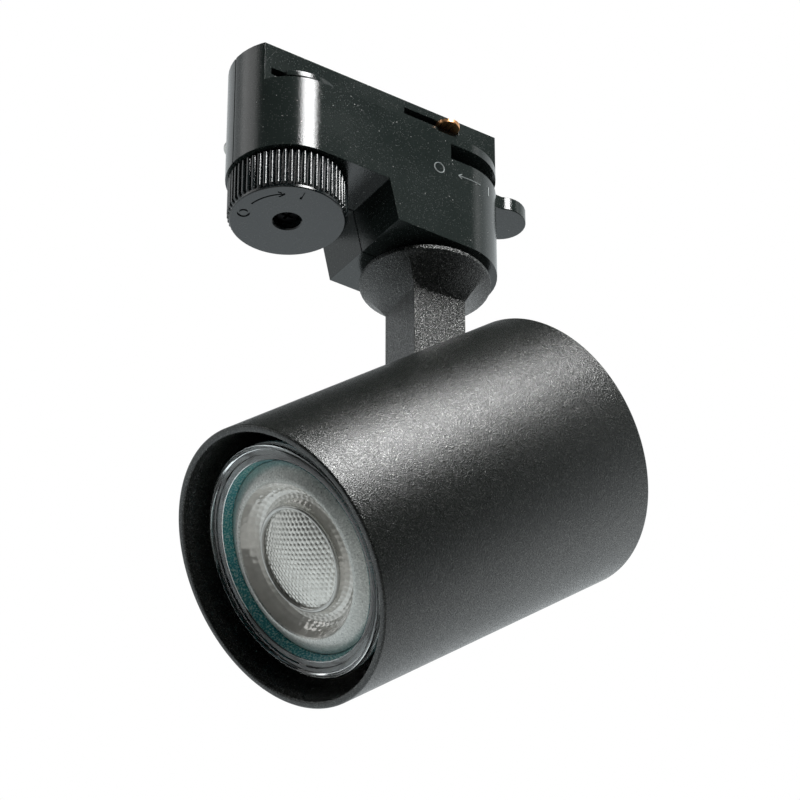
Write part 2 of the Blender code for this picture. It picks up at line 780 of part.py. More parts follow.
def on_tube_axis(obj):
    obj.location.x = AXIS_X
    return obj


def slot_mesh(low):
    """The arm's way through the top of the tube and out at the back, in the head's frame."""
    half = SLOT_WIDTH / 2
    under = -STEM_DEPTH / 2 - SLOT_MARGIN
    return box_mesh((under, -half, low), (REACH, half, REACH))


def spot_tube(frame, look):
    """The tube with its inner shoulder, cut for the arm, the bracket's ears and the screws."""
    profile = [
        (TUBE_RADIUS - TUBE_EDGE, TUBE_REAR),
        (TUBE_RADIUS, TUBE_REAR - TUBE_EDGE),
        (TUBE_RADIUS, TUBE_FRONT + TUBE_EDGE),
        (TUBE_RADIUS - TUBE_EDGE, TUBE_FRONT),
        (TUBE_INNER, TUBE_FRONT),
        (TUBE_INNER, SHOULDER_FRONT),
        (SHOULDER_RADIUS, SHOULDER_FRONT),
        (SHOULDER_RADIUS, SHOULDER_BACK),
        (TUBE_INNER, SHOULDER_BACK),
        (TUBE_INNER, TUBE_REAR),
    ]
    tube = on_tube_axis(turned_part("spot_tube", profile, look, frame, closed=True, steps=TUBE_STEPS))
    arm_way = add_cutter("tube_slot_cut", slot_mesh(-STEM_DEPTH / 2 - SLOT_MARGIN), frame)
    half = EAR_INNER + EAR_THICKNESS + 2 * GAP
    low, high = SHOULDER_FRONT - OVERCUT, SHOULDER_BACK + OVERCUT
    ear_box = box_mesh((EAR_SLOT_BOTTOM, -half, low), (EAR_SLOT_TOP, half, high))
    cut(tube, arm_way, add_cutter("shoulder_ear_cut", ear_box, frame))
    for index, place in enumerate(plate_screw_places()):
        hole = rod_mesh(SCREW_SHANK_RADIUS + GAP, low, high, place, SMALL_STEPS)
        cut(tube, add_cutter(f"shoulder_hole_{index + 1}", hole, frame))


def plate_screw_places():
    offset = PLATE_SCREW_OFFSET
    return [(AXIS_X - offset, -offset), (AXIS_X - offset, offset)]


def cap_screw_places():
    return [(AXIS_X, -CAP_SCREW_OFFSET), (AXIS_X, CAP_SCREW_OFFSET)]


def tilt_bracket(frame, look):
    """A round plate behind the lampholder, with two ears that hold the pivot bolt."""
    disc = rod_mesh(TUBE_INNER - GAP, PLATE_LOW, PLATE_HIGH, (AXIS_X, 0))
    plate = add_part("tilt_bracket", disc, look, frame)
    half_slot = EAR_INNER - GAP
    for side in (-1, 1):
        inner, outer = side * EAR_INNER, side * (EAR_INNER + EAR_THICKNESS)
        ear = box_mesh(
            (EAR_BOTTOM, min(inner, outer), EAR_FRONT),
            (EAR_TOP, max(inner, outer), (PLATE_LOW + PLATE_HIGH) / 2),
        )
        boolean(plate, add_cutter(f"bracket_ear_{side}", ear, frame), "UNION")
    notch = box_mesh((-STEM_DEPTH / 2 - SLOT_MARGIN, -half_slot, -REACH), (REACH, half_slot, REACH))
    top = box_mesh((EAR_TOP + GAP, -REACH, -REACH), (REACH, REACH, REACH))
    bolt = rod_mesh(BOLT_RADIUS + GAP, -REACH, REACH, steps=SMALL_STEPS, turn=XZ_PLANE)
    centre = rod_mesh(PLATE_WIRE_HOLE_RADIUS, -REACH, REACH, (AXIS_X, 0), SMALL_STEPS)
    cut(
        plate,
        add_cutter("bracket_notch_cut", notch, frame),
        add_cutter("bracket_top_cut", top, frame),
        add_cutter("bracket_bolt_cut", bolt, frame),
        add_cutter("bracket_wire_cut", centre, frame),
    )
    places = plate_screw_places() + cap_screw_places() + holder_screw_places()
    for index, place in enumerate(places):
        low, high = PLATE_LOW - OVERCUT, PLATE_HIGH + OVERCUT
        hole = rod_mesh(SCREW_SHANK_RADIUS + GAP, low, high, place, SMALL_STEPS)
        cut(plate, add_cutter(f"plate_hole_{index + 1}", hole, frame))


def holder_screw_places():
    return [(AXIS_X, -HOLDER_SCREW_OFFSET), (AXIS_X, HOLDER_SCREW_OFFSET)]


def rear_screw(name, place, head_face, tip, frame, look):
    """A screw driven from the back of the head: its head faces +Z."""
    profile = [
        (0, head_face),
        (SCREW_HEAD_RADIUS, head_face),
        (SCREW_HEAD_RADIUS, head_face - SCREW_HEAD_HEIGHT),
        (SCREW_SHANK_RADIUS, head_face - SCREW_HEAD_HEIGHT),
        (SCREW_SHANK_RADIUS, tip),
        (0, tip),
    ]
    screw = turned_part(name, profile, look, frame, steps=SMALL_STEPS)
    screw.location = (place[0], place[1], 0)


def rear_cap(frame, look):
    """The plate that closes the back, with two posts that stand on the bracket."""
    disc = rod_mesh(TUBE_INNER - GAP, CAP_LOW, CAP_HIGH, (AXIS_X, 0), steps=TUBE_STEPS)
    cap = add_part("rear_cap", disc, look, frame)
    sink_low = CAP_HIGH - SCREW_HEAD_HEIGHT - GAP
    for index, place in enumerate(cap_screw_places()):
        post = rod_mesh(CAP_POST_RADIUS, PLATE_HIGH + GAP, CAP_LOW + OVERCUT, place, SMALL_STEPS)
        boolean(cap, add_cutter(f"cap_post_{index + 1}", post, frame), "UNION")
        hole = rod_mesh(SCREW_SHANK_RADIUS + GAP, -REACH, REACH, place, SMALL_STEPS)
        sink = rod_mesh(SCREW_HEAD_RADIUS + GAP, sink_low, REACH, place, SMALL_STEPS)
        cut(cap, add_cutter(f"cap_hole_{index + 1}", hole, frame))
        cut(cap, add_cutter(f"cap_sink_{index + 1}", sink, frame))
    cut(cap, add_cutter("cap_slot_cut", slot_mesh(-REACH), frame))


def head_fasteners(frame, steel):
    for index, place in enumerate(cap_screw_places()):
        rear_screw(f"rear_cap_screw_{index + 1}", place, CAP_HIGH, PLATE_LOW - OVERCUT, frame, steel)
    face = PLATE_HIGH + GAP + SCREW_HEAD_HEIGHT
    for index, place in enumerate(plate_screw_places()):
        rear_screw(f"bracket_screw_{index + 1}", place, face, SHOULDER_FRONT - OVERCUT, frame, steel)
    for index, place in enumerate(holder_screw_places()):
        tip = HOLDER_HIGH - HOLDER_HOLE_DEPTH + GAP
        rear_screw(f"lampholder_screw_{index + 1}", place, face, tip, frame, steel)


def tilt_hardware(frame, steel, plastic):
    """The pivot bolt across the ears, its nut, and a friction washer on each side of the arm."""
    outside = EAR_INNER + EAR_THICKNESS + GAP
    head_high = outside + BOLT_HEAD_HEIGHT
    tip = -outside - BOLT_BEYOND_EAR
    profile = [
        (0, head_high),
        (BOLT_HEAD_RADIUS, head_high),
        (BOLT_HEAD_RADIUS, outside),
        (BOLT_RADIUS, outside),
        (BOLT_RADIUS, tip),
        (0, tip),
    ]
    bolt = turned_part("tilt_bolt", profile, steel, frame, steps=SMALL_STEPS)
    bolt.matrix_local = XZ_PLANE
    hexagon = arc((0, 0), TILT_NUT_RADIUS, 0, 300, 5)
    nut = add_part("tilt_nut", prism_mesh(hexagon, tip + BOLT_PAST_NUT, -outside), steel, frame)
    nut.matrix_local = XZ_PLANE
    bore = add_cutter("tilt_nut_cut", rod_mesh(BOLT_RADIUS + GAP, -REACH, REACH, steps=SMALL_STEPS), frame)
    bore.matrix_local = XZ_PLANE
    cut(nut, bore)
    washer_low, washer_high = STEM_WIDTH / 2 + GAP, EAR_INNER - GAP
    for index, (low, high) in enumerate(((washer_low, washer_high), (-washer_high, -washer_low))):
        ring = ring_profile(BOLT_RADIUS + GAP, FRICTION_WASHER_RADIUS, low, high)
        washer = turned_part(f"friction_washer_{index + 1}", ring, plastic, frame, closed=True)
        washer.matrix_local = XZ_PLANE


# ---------------------------------------------------------------- lampholder and lamp


def lampholder(frame, look):
    """A ceramic block with two curved slots for the lamp's pins, over a ring-shaped track."""
    profile = rod_profile(HOLDER_RADIUS, HOLDER_LOW, HOLDER_HIGH)
    holder = on_tube_axis(turned_part("lampholder", profile, look, frame))
    pin_circle = PIN_SPACING / 2
    play = PIN_HEAD_RADIUS + 2 * GAP
    low, high = HOLDER_LOW + HOLDER_FACE, HOLDER_LOW + HOLDER_TRACK_DEPTH
    track_profile = ring_profile(pin_circle - play, pin_circle + play, low, high)
    track = turned_cutter("holder_track_cut", track_profile, frame, closed=True)
    cut(holder, on_tube_axis(track))
    for index, rest in enumerate((0, 180)):
        cut(holder, *pin_slot(index + 1, rest, frame))
    for index, place in enumerate(holder_screw_places()):
        low = HOLDER_HIGH - HOLDER_HOLE_DEPTH
        hole = rod_mesh(SCREW_SHANK_RADIUS + GAP, low, HOLDER_HIGH + OVERCUT, place, SMALL_STEPS)
        cut(holder, add_cutter(f"holder_hole_{index + 1}", hole, frame))


def pin_slot(number, rest, frame):
    """A pin's curved slot, from its locked place at rest back to a keyhole that lets its head out."""
    pin_circle = PIN_SPACING / 2
    inner, outer = pin_circle - HOLDER_SLOT_HALF, pin_circle + HOLDER_SLOT_HALF
    start, end = rest - KEYHOLE_TURN, rest + HOLDER_SLOT_END
    outline = arc((0, 0), outer, start, end, 12) + arc((0, 0), inner, end, start, 12)
    high = HOLDER_LOW + HOLDER_FACE
    slot_solid = prism_mesh(outline, HOLDER_LOW - OVERCUT, high + OVERCUT / 2)
    slot = add_cutter(f"holder_slot_{number}", slot_solid, frame)
    turn = math.radians(start)
    place = (pin_circle * math.cos(turn), pin_circle * math.sin(turn))
    keyhole_solid = rod_mesh(PIN_HEAD_RADIUS + GAP, HOLDER_LOW - 2 * OVERCUT, high + OVERCUT, place)
    keyhole = add_cutter(f"holder_keyhole_{number}", keyhole_solid, frame)
    return on_tube_axis(slot), on_tube_axis(keyhole)


def reflector_radius(part):
    """The lamp body's outer radius, from the rim at 0 to the base at 1."""
    rim = LAMP_RADIUS - GAP
    return LAMP_BASE_RADIUS + (rim - LAMP_BASE_RADIUS) * (1 - part) ** LAMP_CURVE


def lamp_body(frame, look):
    """The rolled rim and the tapered wall behind it, as one shell."""
    start = LAMP_FRONT + LAMP_RIM_DEPTH
    edge = 0.4 * MM
    lip = 1.4 * MM
    steps = 8
    outer = []
    for i in range(steps + 1):
        part = i / steps
        outer.append((reflector_radius(part), start + (LAMP_NECK - start) * part))
    inner = [(radius - LAMP_WALL, height) for radius, height in outer]
    inner[0] = (LAMP_RADIUS - 2 * LAMP_WALL, start)
    profile = list(reversed(outer))
    profile += [(LAMP_RADIUS, start - edge), (LAMP_RADIUS, LAMP_FRONT + edge)]
    profile += [(LAMP_RADIUS - edge, LAMP_FRONT), (LAMP_RADIUS - lip, LAMP_FRONT)]
    profile += [(LAMP_RADIUS - lip - edge, LAMP_FRONT + LAMP_RIM_DEPTH / 2)] + inner
    on_tube_axis(turned_part("lamp_body", profile, look, frame, closed=True, steps=LAMP_STEPS))


def lamp_base(frame, look):
    """The ceramic base, with a socket for each pin."""
    profile = [
        (0, LAMP_BACK),
        (LAMP_BASE_RADIUS - LAMP_BASE_EDGE, LAMP_BACK),
        (LAMP_BASE_RADIUS, LAMP_BACK - LAMP_BASE_EDGE),
        (LAMP_BASE_RADIUS, LAMP_NECK + GAP),
        (0, LAMP_NECK + GAP),
    ]
    base = on_tube_axis(turned_part("lamp_base", profile, look, frame))
    for index, x in enumerate(pin_places()):
        socket = rod_mesh(PIN_RADIUS + GAP, LAMP_BACK - PIN_SEAT - GAP, REACH, (x, 0), SMALL_STEPS)
        cut(base, add_cutter(f"pin_socket_{index + 1}", socket, frame))


def pin_places():
    return (AXIS_X - PIN_SPACING / 2, AXIS_X + PIN_SPACING / 2)


def lamp_pins(frame, look):
    """The two locking pins, each with a wider head."""
    tip = LAMP_BACK + PIN_LENGTH
    profile = [
        (0, tip),
        (PIN_HEAD_RADIUS, tip),
        (PIN_HEAD_RADIUS, tip - PIN_HEAD_LENGTH),
        (PIN_RADIUS, tip - PIN_HEAD_LENGTH),
        (PIN_RADIUS, LAMP_BACK - PIN_SEAT),
        (0, LAMP_BACK - PIN_SEAT),
    ]
    for index, x in enumerate(pin_places()):
        pin = turned_part(f"lamp_pin_{index + 1}", profile, look, frame, steps=SMALL_STEPS)
        pin.location.x = x


def lamp_optics(frame, lens_look, board_look):
    """The front lens, and the board that carries the light source behind it."""
    lens_profile = rod_profile(LAMP_LENS_RADIUS, LAMP_LENS_FRONT, LAMP_LENS_BACK)
    on_tube_axis(turned_part("lamp_lens", lens_profile, lens_look, frame, steps=LAMP_STEPS))
    high = LAMP_BOARD_FRONT + LAMP_BOARD_THICKNESS
    board = ring_profile(LAMP_BOARD_HOLE_RADIUS, LAMP_BOARD_RADIUS, LAMP_BOARD_FRONT, high)
    on_tube_axis(turned_part("lamp_board", board, board_look, frame, closed=True))


# ---------------------------------------------------------------- wires


def wire(name, points, radius, look, parent):
    curve = bpy.data.curves.new(name, "CURVE")
    curve.dimensions = "3D"
    curve.bevel_depth = radius
    curve.bevel_resolution = 2
    curve.use_fill_caps = True
    spline = curve.splines.new("POLY")
    spline.points.add(len(points) - 1)
    for point, place in zip(spline.points, points):
        point.co = (*place, 1)
    curve.materials.append(look)
    obj = bpy.data.objects.new(name, curve)
    obj.parent = parent
    PARTS.objects.link(obj)


def arm_wires(frame, looks):
    """Live and neutral, from the wiring chamber down through the nipple and the stem."""
    top, bend = CHAMBER_HIGH - 9.0 * MM, PIVOT_Z + 12.4 * MM
    low, bend_back = PIVOT_Z + 9.4 * MM, 2.0 * MM
    exit_x = -STEM_DEPTH / 2 + 2 * GAP
    for side, name, look in ((-1, "arm_wire_live", looks[0]), (1, "arm_wire_neutral", looks[1])):
        y = side * ARM_WIRE_SPACING / 2
        points = [(0, y, top), (0, y, CHAMBER_LOW), (0, y, NIPPLE_BOTTOM), (0, y, bend)]
        points += [(-bend_back / 4, y, bend - bend_back), (-bend_back, y, low), (exit_x, y, low - GAP)]
        wire(name, points, WIRE_RADIUS, look, frame)


def holder_leads(frame, looks):
    """Live and neutral leads out of the lampholder, turned up behind the bracket towards the arm."""
    low, high = HOLDER_HIGH + GAP, PLATE_HIGH + 4.8 * MM
    bend = 2.4 * MM
    x = AXIS_X + 3.0 * MM
    end_x = x + 9.0 * MM
    for side, name, look in ((-1, "holder_lead_live", looks[0]), (1, "holder_lead_neutral", looks[1])):
        y = side * HOLDER_WIRE_SPACING / 2
        points = [(x, y, low), (x, y, high - bend), (x + 0.3 * bend, y, high - 0.3 * bend)]
        points += [(x + bend, y, high), (end_x, y, high)]
        wire(name, points, WIRE_RADIUS, look, frame)


# ---------------------------------------------------------------- assembly


def build():
    plastic = material("housing_plastic", (0.02, 0.022, 0.024), 0.3)
    knob_plastic = material("knob_plastic", (0.03, 0.031, 0.033), 0.32)
    powder = material("powder_coat", (0.03, 0.03, 0.031), 0.55, 0.2)
    steel = material("zinc_steel", (0.62, 0.62, 0.6), 0.35, 1.0)
    copper = material("copper", (0.72, 0.36, 0.16), 0.3, 1.0)
    ceramic = material("ceramic", (0.85, 0.84, 0.8), 0.5)
    glass = material("lamp_glass", (0.75, 0.85, 0.87), 0.08)
    lens = material("lamp_lens", (0.8, 0.82, 0.8), 0.2)
    board = material("lamp_board", (0.9, 0.9, 0.88), 0.45)
    brown = material("wire_brown", (0.25, 0.1, 0.05), 0.5)
    blue = material("wire_blue", (0.06, 0.16, 0.5), 0.5)

    shared = housing_cutters()
    near = housing_half("housing_near", -1, plastic, shared)
    far = housing_half("housing_far", 1, plastic, shared)
    housing_screws(near, far, steel)

    lock_frame = frame_empty("lock_axis", location=LOCK_AXIS)
    lock_knob(lock_frame, knob_plastic)
    lock_tab(lock_frame, plastic)
    lock_fasteners(lock_frame, steel)

    rotor_frame = frame_empty("rotor_axis", location=ROTOR_AXIS)
    contact_lever(rotor_frame, plastic)
    contacts(rotor_frame, copper)

    arm_frame = frame_empty("pan_axis", location=(PAN_X, 0, 0), rotation=(0, 0, PAN_HEADING))
    swivel_hardware(arm_frame, steel, plastic)
    swivel_arm(arm_frame, powder)
    arm_wires(arm_frame, (brown, blue))

    head_turn = (0, TILT_DOWN - math.pi / 2, 0)
    head_frame = frame_empty("tilt_axis", arm_frame, (0, 0, PIVOT_Z), head_turn)
    spot_tube(head_frame, powder)
    tilt_bracket(head_frame, steel)
    rear_cap(head_frame, powder)
    head_fasteners(head_frame, steel)
    tilt_hardware(head_frame, steel, plastic)
    lampholder(head_frame, ceramic)
    holder_leads(head_frame, (brown, blue))
    lamp_body(head_frame, glass)
    lamp_optics(head_frame, lens, board)
    lamp_base(head_frame, ceramic)
    lamp_pins(head_frame, steel)


clear_scene()
PARTS = new_collection("track_spotlight")
CUTTERS = new_collection("cutters")
build()
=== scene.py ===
"""Looks of the track spotlight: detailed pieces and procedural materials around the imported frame."""

import json
import math

import bmesh
import bpy
from mathutils import Matrix, Vector

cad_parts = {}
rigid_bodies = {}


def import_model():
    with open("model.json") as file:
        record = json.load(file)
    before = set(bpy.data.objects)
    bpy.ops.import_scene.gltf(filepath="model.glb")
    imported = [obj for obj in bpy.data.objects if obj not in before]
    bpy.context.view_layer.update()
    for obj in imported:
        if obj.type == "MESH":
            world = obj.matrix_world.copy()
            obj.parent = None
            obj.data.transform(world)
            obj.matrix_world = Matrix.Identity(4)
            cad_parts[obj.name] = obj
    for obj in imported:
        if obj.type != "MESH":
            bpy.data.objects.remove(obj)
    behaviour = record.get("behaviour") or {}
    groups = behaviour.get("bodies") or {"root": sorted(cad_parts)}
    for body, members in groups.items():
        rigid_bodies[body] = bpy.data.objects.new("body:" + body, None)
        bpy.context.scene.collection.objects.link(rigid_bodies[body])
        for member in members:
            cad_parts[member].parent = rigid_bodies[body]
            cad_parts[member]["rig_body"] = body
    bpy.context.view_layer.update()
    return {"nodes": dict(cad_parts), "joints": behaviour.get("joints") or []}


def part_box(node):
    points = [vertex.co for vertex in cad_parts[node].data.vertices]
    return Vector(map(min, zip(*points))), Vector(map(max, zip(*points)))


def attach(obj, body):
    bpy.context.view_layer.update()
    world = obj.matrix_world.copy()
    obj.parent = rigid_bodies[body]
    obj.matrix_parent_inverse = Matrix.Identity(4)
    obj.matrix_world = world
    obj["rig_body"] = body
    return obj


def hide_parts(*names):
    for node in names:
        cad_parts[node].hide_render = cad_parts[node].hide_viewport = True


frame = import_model()

MM = 0.001
PLASTIC_IOR = 1.5
GLASS_IOR = 1.5
NODES = frame["nodes"]
JOINTS = {joint["name"]: joint for joint in frame["joints"]}
ROUND_STEPS = 192
TUBE_STEPS = 256
SMALL_STEPS = 48
SMOOTH_ANGLE = math.radians(32)


# ---------------------------------------------------------------- frames of reference


def head_matrix():
    """The head's own frame: origin on the tilt pivot, X to the tube's top, Y across, Z to its back."""
    front = Vector(JOINTS["lamp_twist"]["axis"]).normalized()
    across = Vector(JOINTS["tilt"]["axis"]).normalized()
    up = front.cross(across)
    turn = Matrix((up, across, -front)).transposed().to_4x4()
    return Matrix.Translation(Vector(JOINTS["tilt"]["pos_m"])) @ turn


def upright_matrix(joint):
    return Matrix.Translation((JOINTS[joint]["pos_m"][0], JOINTS[joint]["pos_m"][1], 0))


HEAD = head_matrix()
LAMP_POINT = HEAD.inverted() @ Vector(JOINTS["lamp_twist"]["pos_m"])
TUBE_AXIS = HEAD @ Matrix.Translation((LAMP_POINT.x, 0, 0))
LOCK = upright_matrix("lock_knob_turn")
ROTOR = upright_matrix("contact_lever_turn")


def span_along(node, matrix, axis):
    """The lowest and highest place of a CAD node along an axis of a frame."""
    inverse = matrix.inverted()
    places = [(inverse @ vertex.co)[axis] for vertex in NODES[node].data.vertices]
    return min(places), max(places)


TUBE_FRONT, TUBE_REAR = span_along("spot_tube", HEAD, 2)
TUBE_RADIUS = span_along("spot_tube", HEAD, 1)[1]
LAMP_FRONT = span_along("lamp_body", HEAD, 2)[0]
LAMP_RADIUS = span_along("lamp_body", HEAD, 1)[1]


# ---------------------------------------------------------------- node helpers


class Look:
    """A procedural material with short names for the nodes that most of them share."""

    def __init__(self, name, base, roughness, metallic=0.0):
        self.material = bpy.data.materials.new(name)
        self.material.use_nodes = True
        self.tree = self.material.node_tree
        self.shader = self.tree.nodes["Principled BSDF"]
        self.shader.inputs["Base Color"].default_value = (*base, 1)
        self.shader.inputs["Roughness"].default_value = roughness
        self.shader.inputs["Metallic"].default_value = metallic
        self.place = self.tree.nodes.new("ShaderNodeTexCoord").outputs["Object"]

    def link(self, output, socket):
        self.tree.links.new(output, socket)

    def noise(self, scale, detail=2.0, roughness=0.5, stretch=None):
        node = self.tree.nodes.new("ShaderNodeTexNoise")
        node.inputs["Scale"].default_value = scale
        node.inputs["Detail"].default_value = detail
        node.inputs["Roughness"].default_value = roughness
        self.link(self.place if stretch is None else self.stretched(stretch), node.inputs["Vector"])
        return node.outputs["Fac"]

    def stretched(self, scale):
        node = self.tree.nodes.new("ShaderNodeMapping")
        node.inputs["Scale"].default_value = scale
        self.link(self.place, node.inputs["Vector"])
        return node.outputs["Vector"]

    def axis(self, name, place=None):
        split = self.tree.nodes.new("ShaderNodeSeparateXYZ")
        self.link(place or self.place, split.inputs[0])
        return split.outputs[name]

    def in_frame(self, matrix):
        """The place in another frame."""
        inverse = matrix.inverted()
        node = self.tree.nodes.new("ShaderNodeMapping")
        node.inputs["Location"].default_value = inverse.translation
        node.inputs["Rotation"].default_value = inverse.to_euler()
        self.link(self.place, node.inputs["Vector"])
        return node.outputs["Vector"]

    def streaks(self, matrix, count, blur):
        """Fine radial streaks about a frame's Z axis."""
        local = self.in_frame(matrix)
        x, y = self.axis("X", local), self.axis("Y", local)
        angle = self.math("ARCTAN2", y, x)
        square = self.math("ADD", self.math("MULTIPLY", x, x), self.math("MULTIPLY", y, y))
        reach = self.math("SQRT", square, 0)
        node = self.tree.nodes.new("ShaderNodeCombineXYZ")
        self.link(self.math("MULTIPLY", angle, count), node.inputs[0])
        self.link(self.math("MULTIPLY", reach, blur), node.inputs[1])
        noise = self.tree.nodes.new("ShaderNodeTexNoise")
        noise.inputs["Scale"].default_value = 1.0
        noise.inputs["Detail"].default_value = 3.0
        self.link(node.outputs[0], noise.inputs["Vector"])
        return noise.outputs["Fac"]

    def cells(self, scale):
        """Distance to the nearest cell centre, and a random value for the cell."""
        node = self.tree.nodes.new("ShaderNodeTexVoronoi")
        node.inputs["Scale"].default_value = scale
        self.link(self.place, node.inputs["Vector"])
        split = self.tree.nodes.new("ShaderNodeSeparateColor")
        self.link(node.outputs["Color"], split.inputs["Color"])
        return node.outputs["Distance"], split.outputs["Red"]

    def map(self, output, low, high, to_low, to_high):
        node = self.tree.nodes.new("ShaderNodeMapRange")
        for name, value in (("From Min", low), ("From Max", high), ("To Min", to_low), ("To Max", to_high)):
            node.inputs[name].default_value = value
        self.link(output, node.inputs["Value"])
        return node.outputs["Result"]

    def math(self, operation, a, b):
        node = self.tree.nodes.new("ShaderNodeMath")
        node.operation = operation
        for value, socket in ((a, node.inputs[0]), (b, node.inputs[1])):
            if isinstance(value, (int, float)):
                socket.default_value = value
            else:
                self.link(value, socket)
        return node.outputs["Value"]

    def mix(self, factor, a, b):
        node = self.tree.nodes.new("ShaderNodeMix")
        node.data_type = "RGBA"
        self.link(factor, node.inputs[0])
        for value, socket in ((a, node.inputs[6]), (b, node.inputs[7])):
            if isinstance(value, tuple):
                socket.default_value = (*value, 1)
            else:
                self.link(value, socket)
        return node.outputs[2]

    def specks(self, scale, size, share):
        """1 on small round specks: one in some of the cells, 0 elsewhere."""
        distance, chance = self.cells(scale)
        near = self.map(distance, size, size * 0.6, 0, 1)
        chosen = self.map(chance, 1 - share, 1 - share + 0.02, 0, 1)
        return self.math("MULTIPLY", near, chosen)

    def bump(self, height, distance, strength=1.0, before=None):
        node = self.tree.nodes.new("ShaderNodeBump")
        node.inputs["Distance"].default_value = distance
        node.inputs["Strength"].default_value = strength
        self.link(height, node.inputs["Height"])
        if before is not None:
            self.link(before, node.inputs["Normal"])
        return node.outputs["Normal"]

    def set(self, socket, output):
        self.link(output, self.shader.inputs[socket])

    def constant(self, socket, value):
        self.shader.inputs[socket].default_value = value


# ---------------------------------------------------------------- materials


def moulded_plastic(name, base, roughness, dust):
    """Glossy moulded plastic with a fine grain, faint flow marks and specks of dust."""
    look = Look(name, base, roughness)
    flow = look.noise(60, 3.0)
    grain = look.noise(5200, 0.0)
    specks = look.specks(1100, 0.14, dust)
    fine = look.specks(3400, 0.42, 0.22)
    dirt = look.math("MAXIMUM", specks, look.math("MULTIPLY", fine, 0.16))
    lighter = tuple(channel * 1.7 + 0.004 for channel in base)
    look.set("Base Color", look.mix(dirt, look.mix(flow, base, lighter), (0.3, 0.3, 0.29)))
    varied = look.map(flow, 0.3, 0.7, roughness * 0.8, roughness * 1.25)
    look.set("Roughness", look.math("ADD", varied, look.math("MULTIPLY", dirt, 0.3)))
    look.set("Normal", look.bump(specks, 0.00003, 0.5, look.bump(grain, 0.00002, 1.0)))
    look.constant("IOR", PLASTIC_IOR)
    return look.material


def powder_coat(name, base, roughness, grain, glint):
    """Black powder coat: a fine pebbled skin, glossier on the crests than between them."""
    look = Look(name, base, roughness)
    pebbles = look.noise(4200, 0.0)
    fine = look.noise(7500, 0.0)
    sand = look.specks(3600, 0.5, 0.3)
    broad = look.noise(420, 2.0)
    lighter = tuple(channel * 2.0 + 0.004 for channel in base)
    skin_colour = look.mix(look.map(pebbles, 0.35, 0.7, 0, 1), base, lighter)
    look.set("Base Color", look.mix(sand, skin_colour, (glint, glint * 1.03, glint * 0.97)))
    look.set("Metallic", look.math("MULTIPLY", sand, 0.8))
    crest = look.map(pebbles, 0.35, 0.65, 0.09, -0.09)
    varied = look.map(broad, 0.3, 0.7, roughness * 0.94, roughness * 1.06)
    look.set("Roughness", look.math("ADD", varied, crest))
    skin = look.bump(pebbles, grain, 1.0, look.bump(fine, grain * 0.4, 1.0))
    look.set("Normal", skin)
    look.constant("IOR", PLASTIC_IOR)
    return look.material


def plated_steel(name, base, roughness):
    """Plated or blackened steel: fine drawn lines and faint clouding."""
    look = Look(name, base, roughness, 1.0)
    lines = look.noise(900, 3.0, stretch=(0.2, 1.0, 6.0))
    cloud = look.noise(180, 3.0)
    darker = tuple(channel * 0.72 for channel in base)
    look.set("Base Color", look.mix(cloud, base, darker))
    look.set("Roughness", look.map(lines, 0.3, 0.7, roughness * 0.75, roughness * 1.35))
    look.set("Normal", look.bump(lines, 0.00001, 0.5))
    return look.material


def sprung_copper():
    """Bare contact metal with rubbed bright streaks and a little tarnish."""
    look = Look("contact_copper", (0.83, 0.42, 0.2), 0.3, 1.0)
    tarnish = look.noise(500, 4.0)
    streaks = look.noise(1500, 2.0, stretch=(1.0, 0.15, 1.0))
    clean, dull = (0.88, 0.47, 0.22), (0.5, 0.25, 0.12)
    look.set("Base Color", look.mix(look.map(tarnish, 0.4, 0.8, 0, 1), clean, dull))
    look.set("Roughness", look.map(streaks, 0.3, 0.7, 0.2, 0.42))
    look.set("Normal", look.bump(streaks, 0.00001, 0.5))
    return look.material


def ceramic():
    """Unglazed white steatite with fine pores."""
    look = Look("steatite", (0.82, 0.8, 0.75), 0.6)
    pores = look.specks(1500, 0.3, 0.35)
    cloud = look.noise(150, 3.0)
    body = look.mix(cloud, (0.86, 0.84, 0.79), (0.76, 0.74, 0.68))
    look.set("Base Color", look.mix(pores, body, (0.45, 0.42, 0.37)))
    look.set("Normal", look.bump(look.noise(1200, 3.0), 0.00003, 0.6))
    return look.material


def insulation(name, base):
    """Silicone wire insulation, matt, with a dusty bloom."""
    look = Look(name, base, 0.5)
    bloom = look.noise(700, 3.0)
    look.set("Base Color", look.mix(bloom, base, tuple(channel * 0.6 + 0.03 for channel in base)))
    look.set("Roughness", look.map(bloom, 0.3, 0.7, 0.4, 0.6))
    look.set("Normal", look.bump(bloom, 0.00003, 0.4))
    return look.material


def clear_glass():
    """The lamp's clear rim: a little uneven, with faint scratches."""
    look = Look("lamp_clear_glass", (0.9, 0.93, 0.92), 0.03)
    look.constant("Transmission Weight", 1.0)
    look.constant("IOR", GLASS_IOR)
    scratch = look.noise(300, 4.0)
    look.set("Roughness", look.map(scratch, 0.45, 0.75, 0.02, 0.12))
    look.set("Normal", look.bump(look.noise(160, 2.0), 0.00001, 0.1))
    return look.material


def rim_backing():
    """The grey cement seen through the glass rim."""
    look = Look("lamp_rim_cement", (0.07, 0.072, 0.068), 0.5)
    cloud = look.noise(500, 3.0)
    look.set("Base Color", look.mix(cloud, (0.035, 0.036, 0.035), (0.06, 0.06, 0.056)))
    look.set("Normal", look.bump(cloud, 0.00001, 0.3))
    return look.material


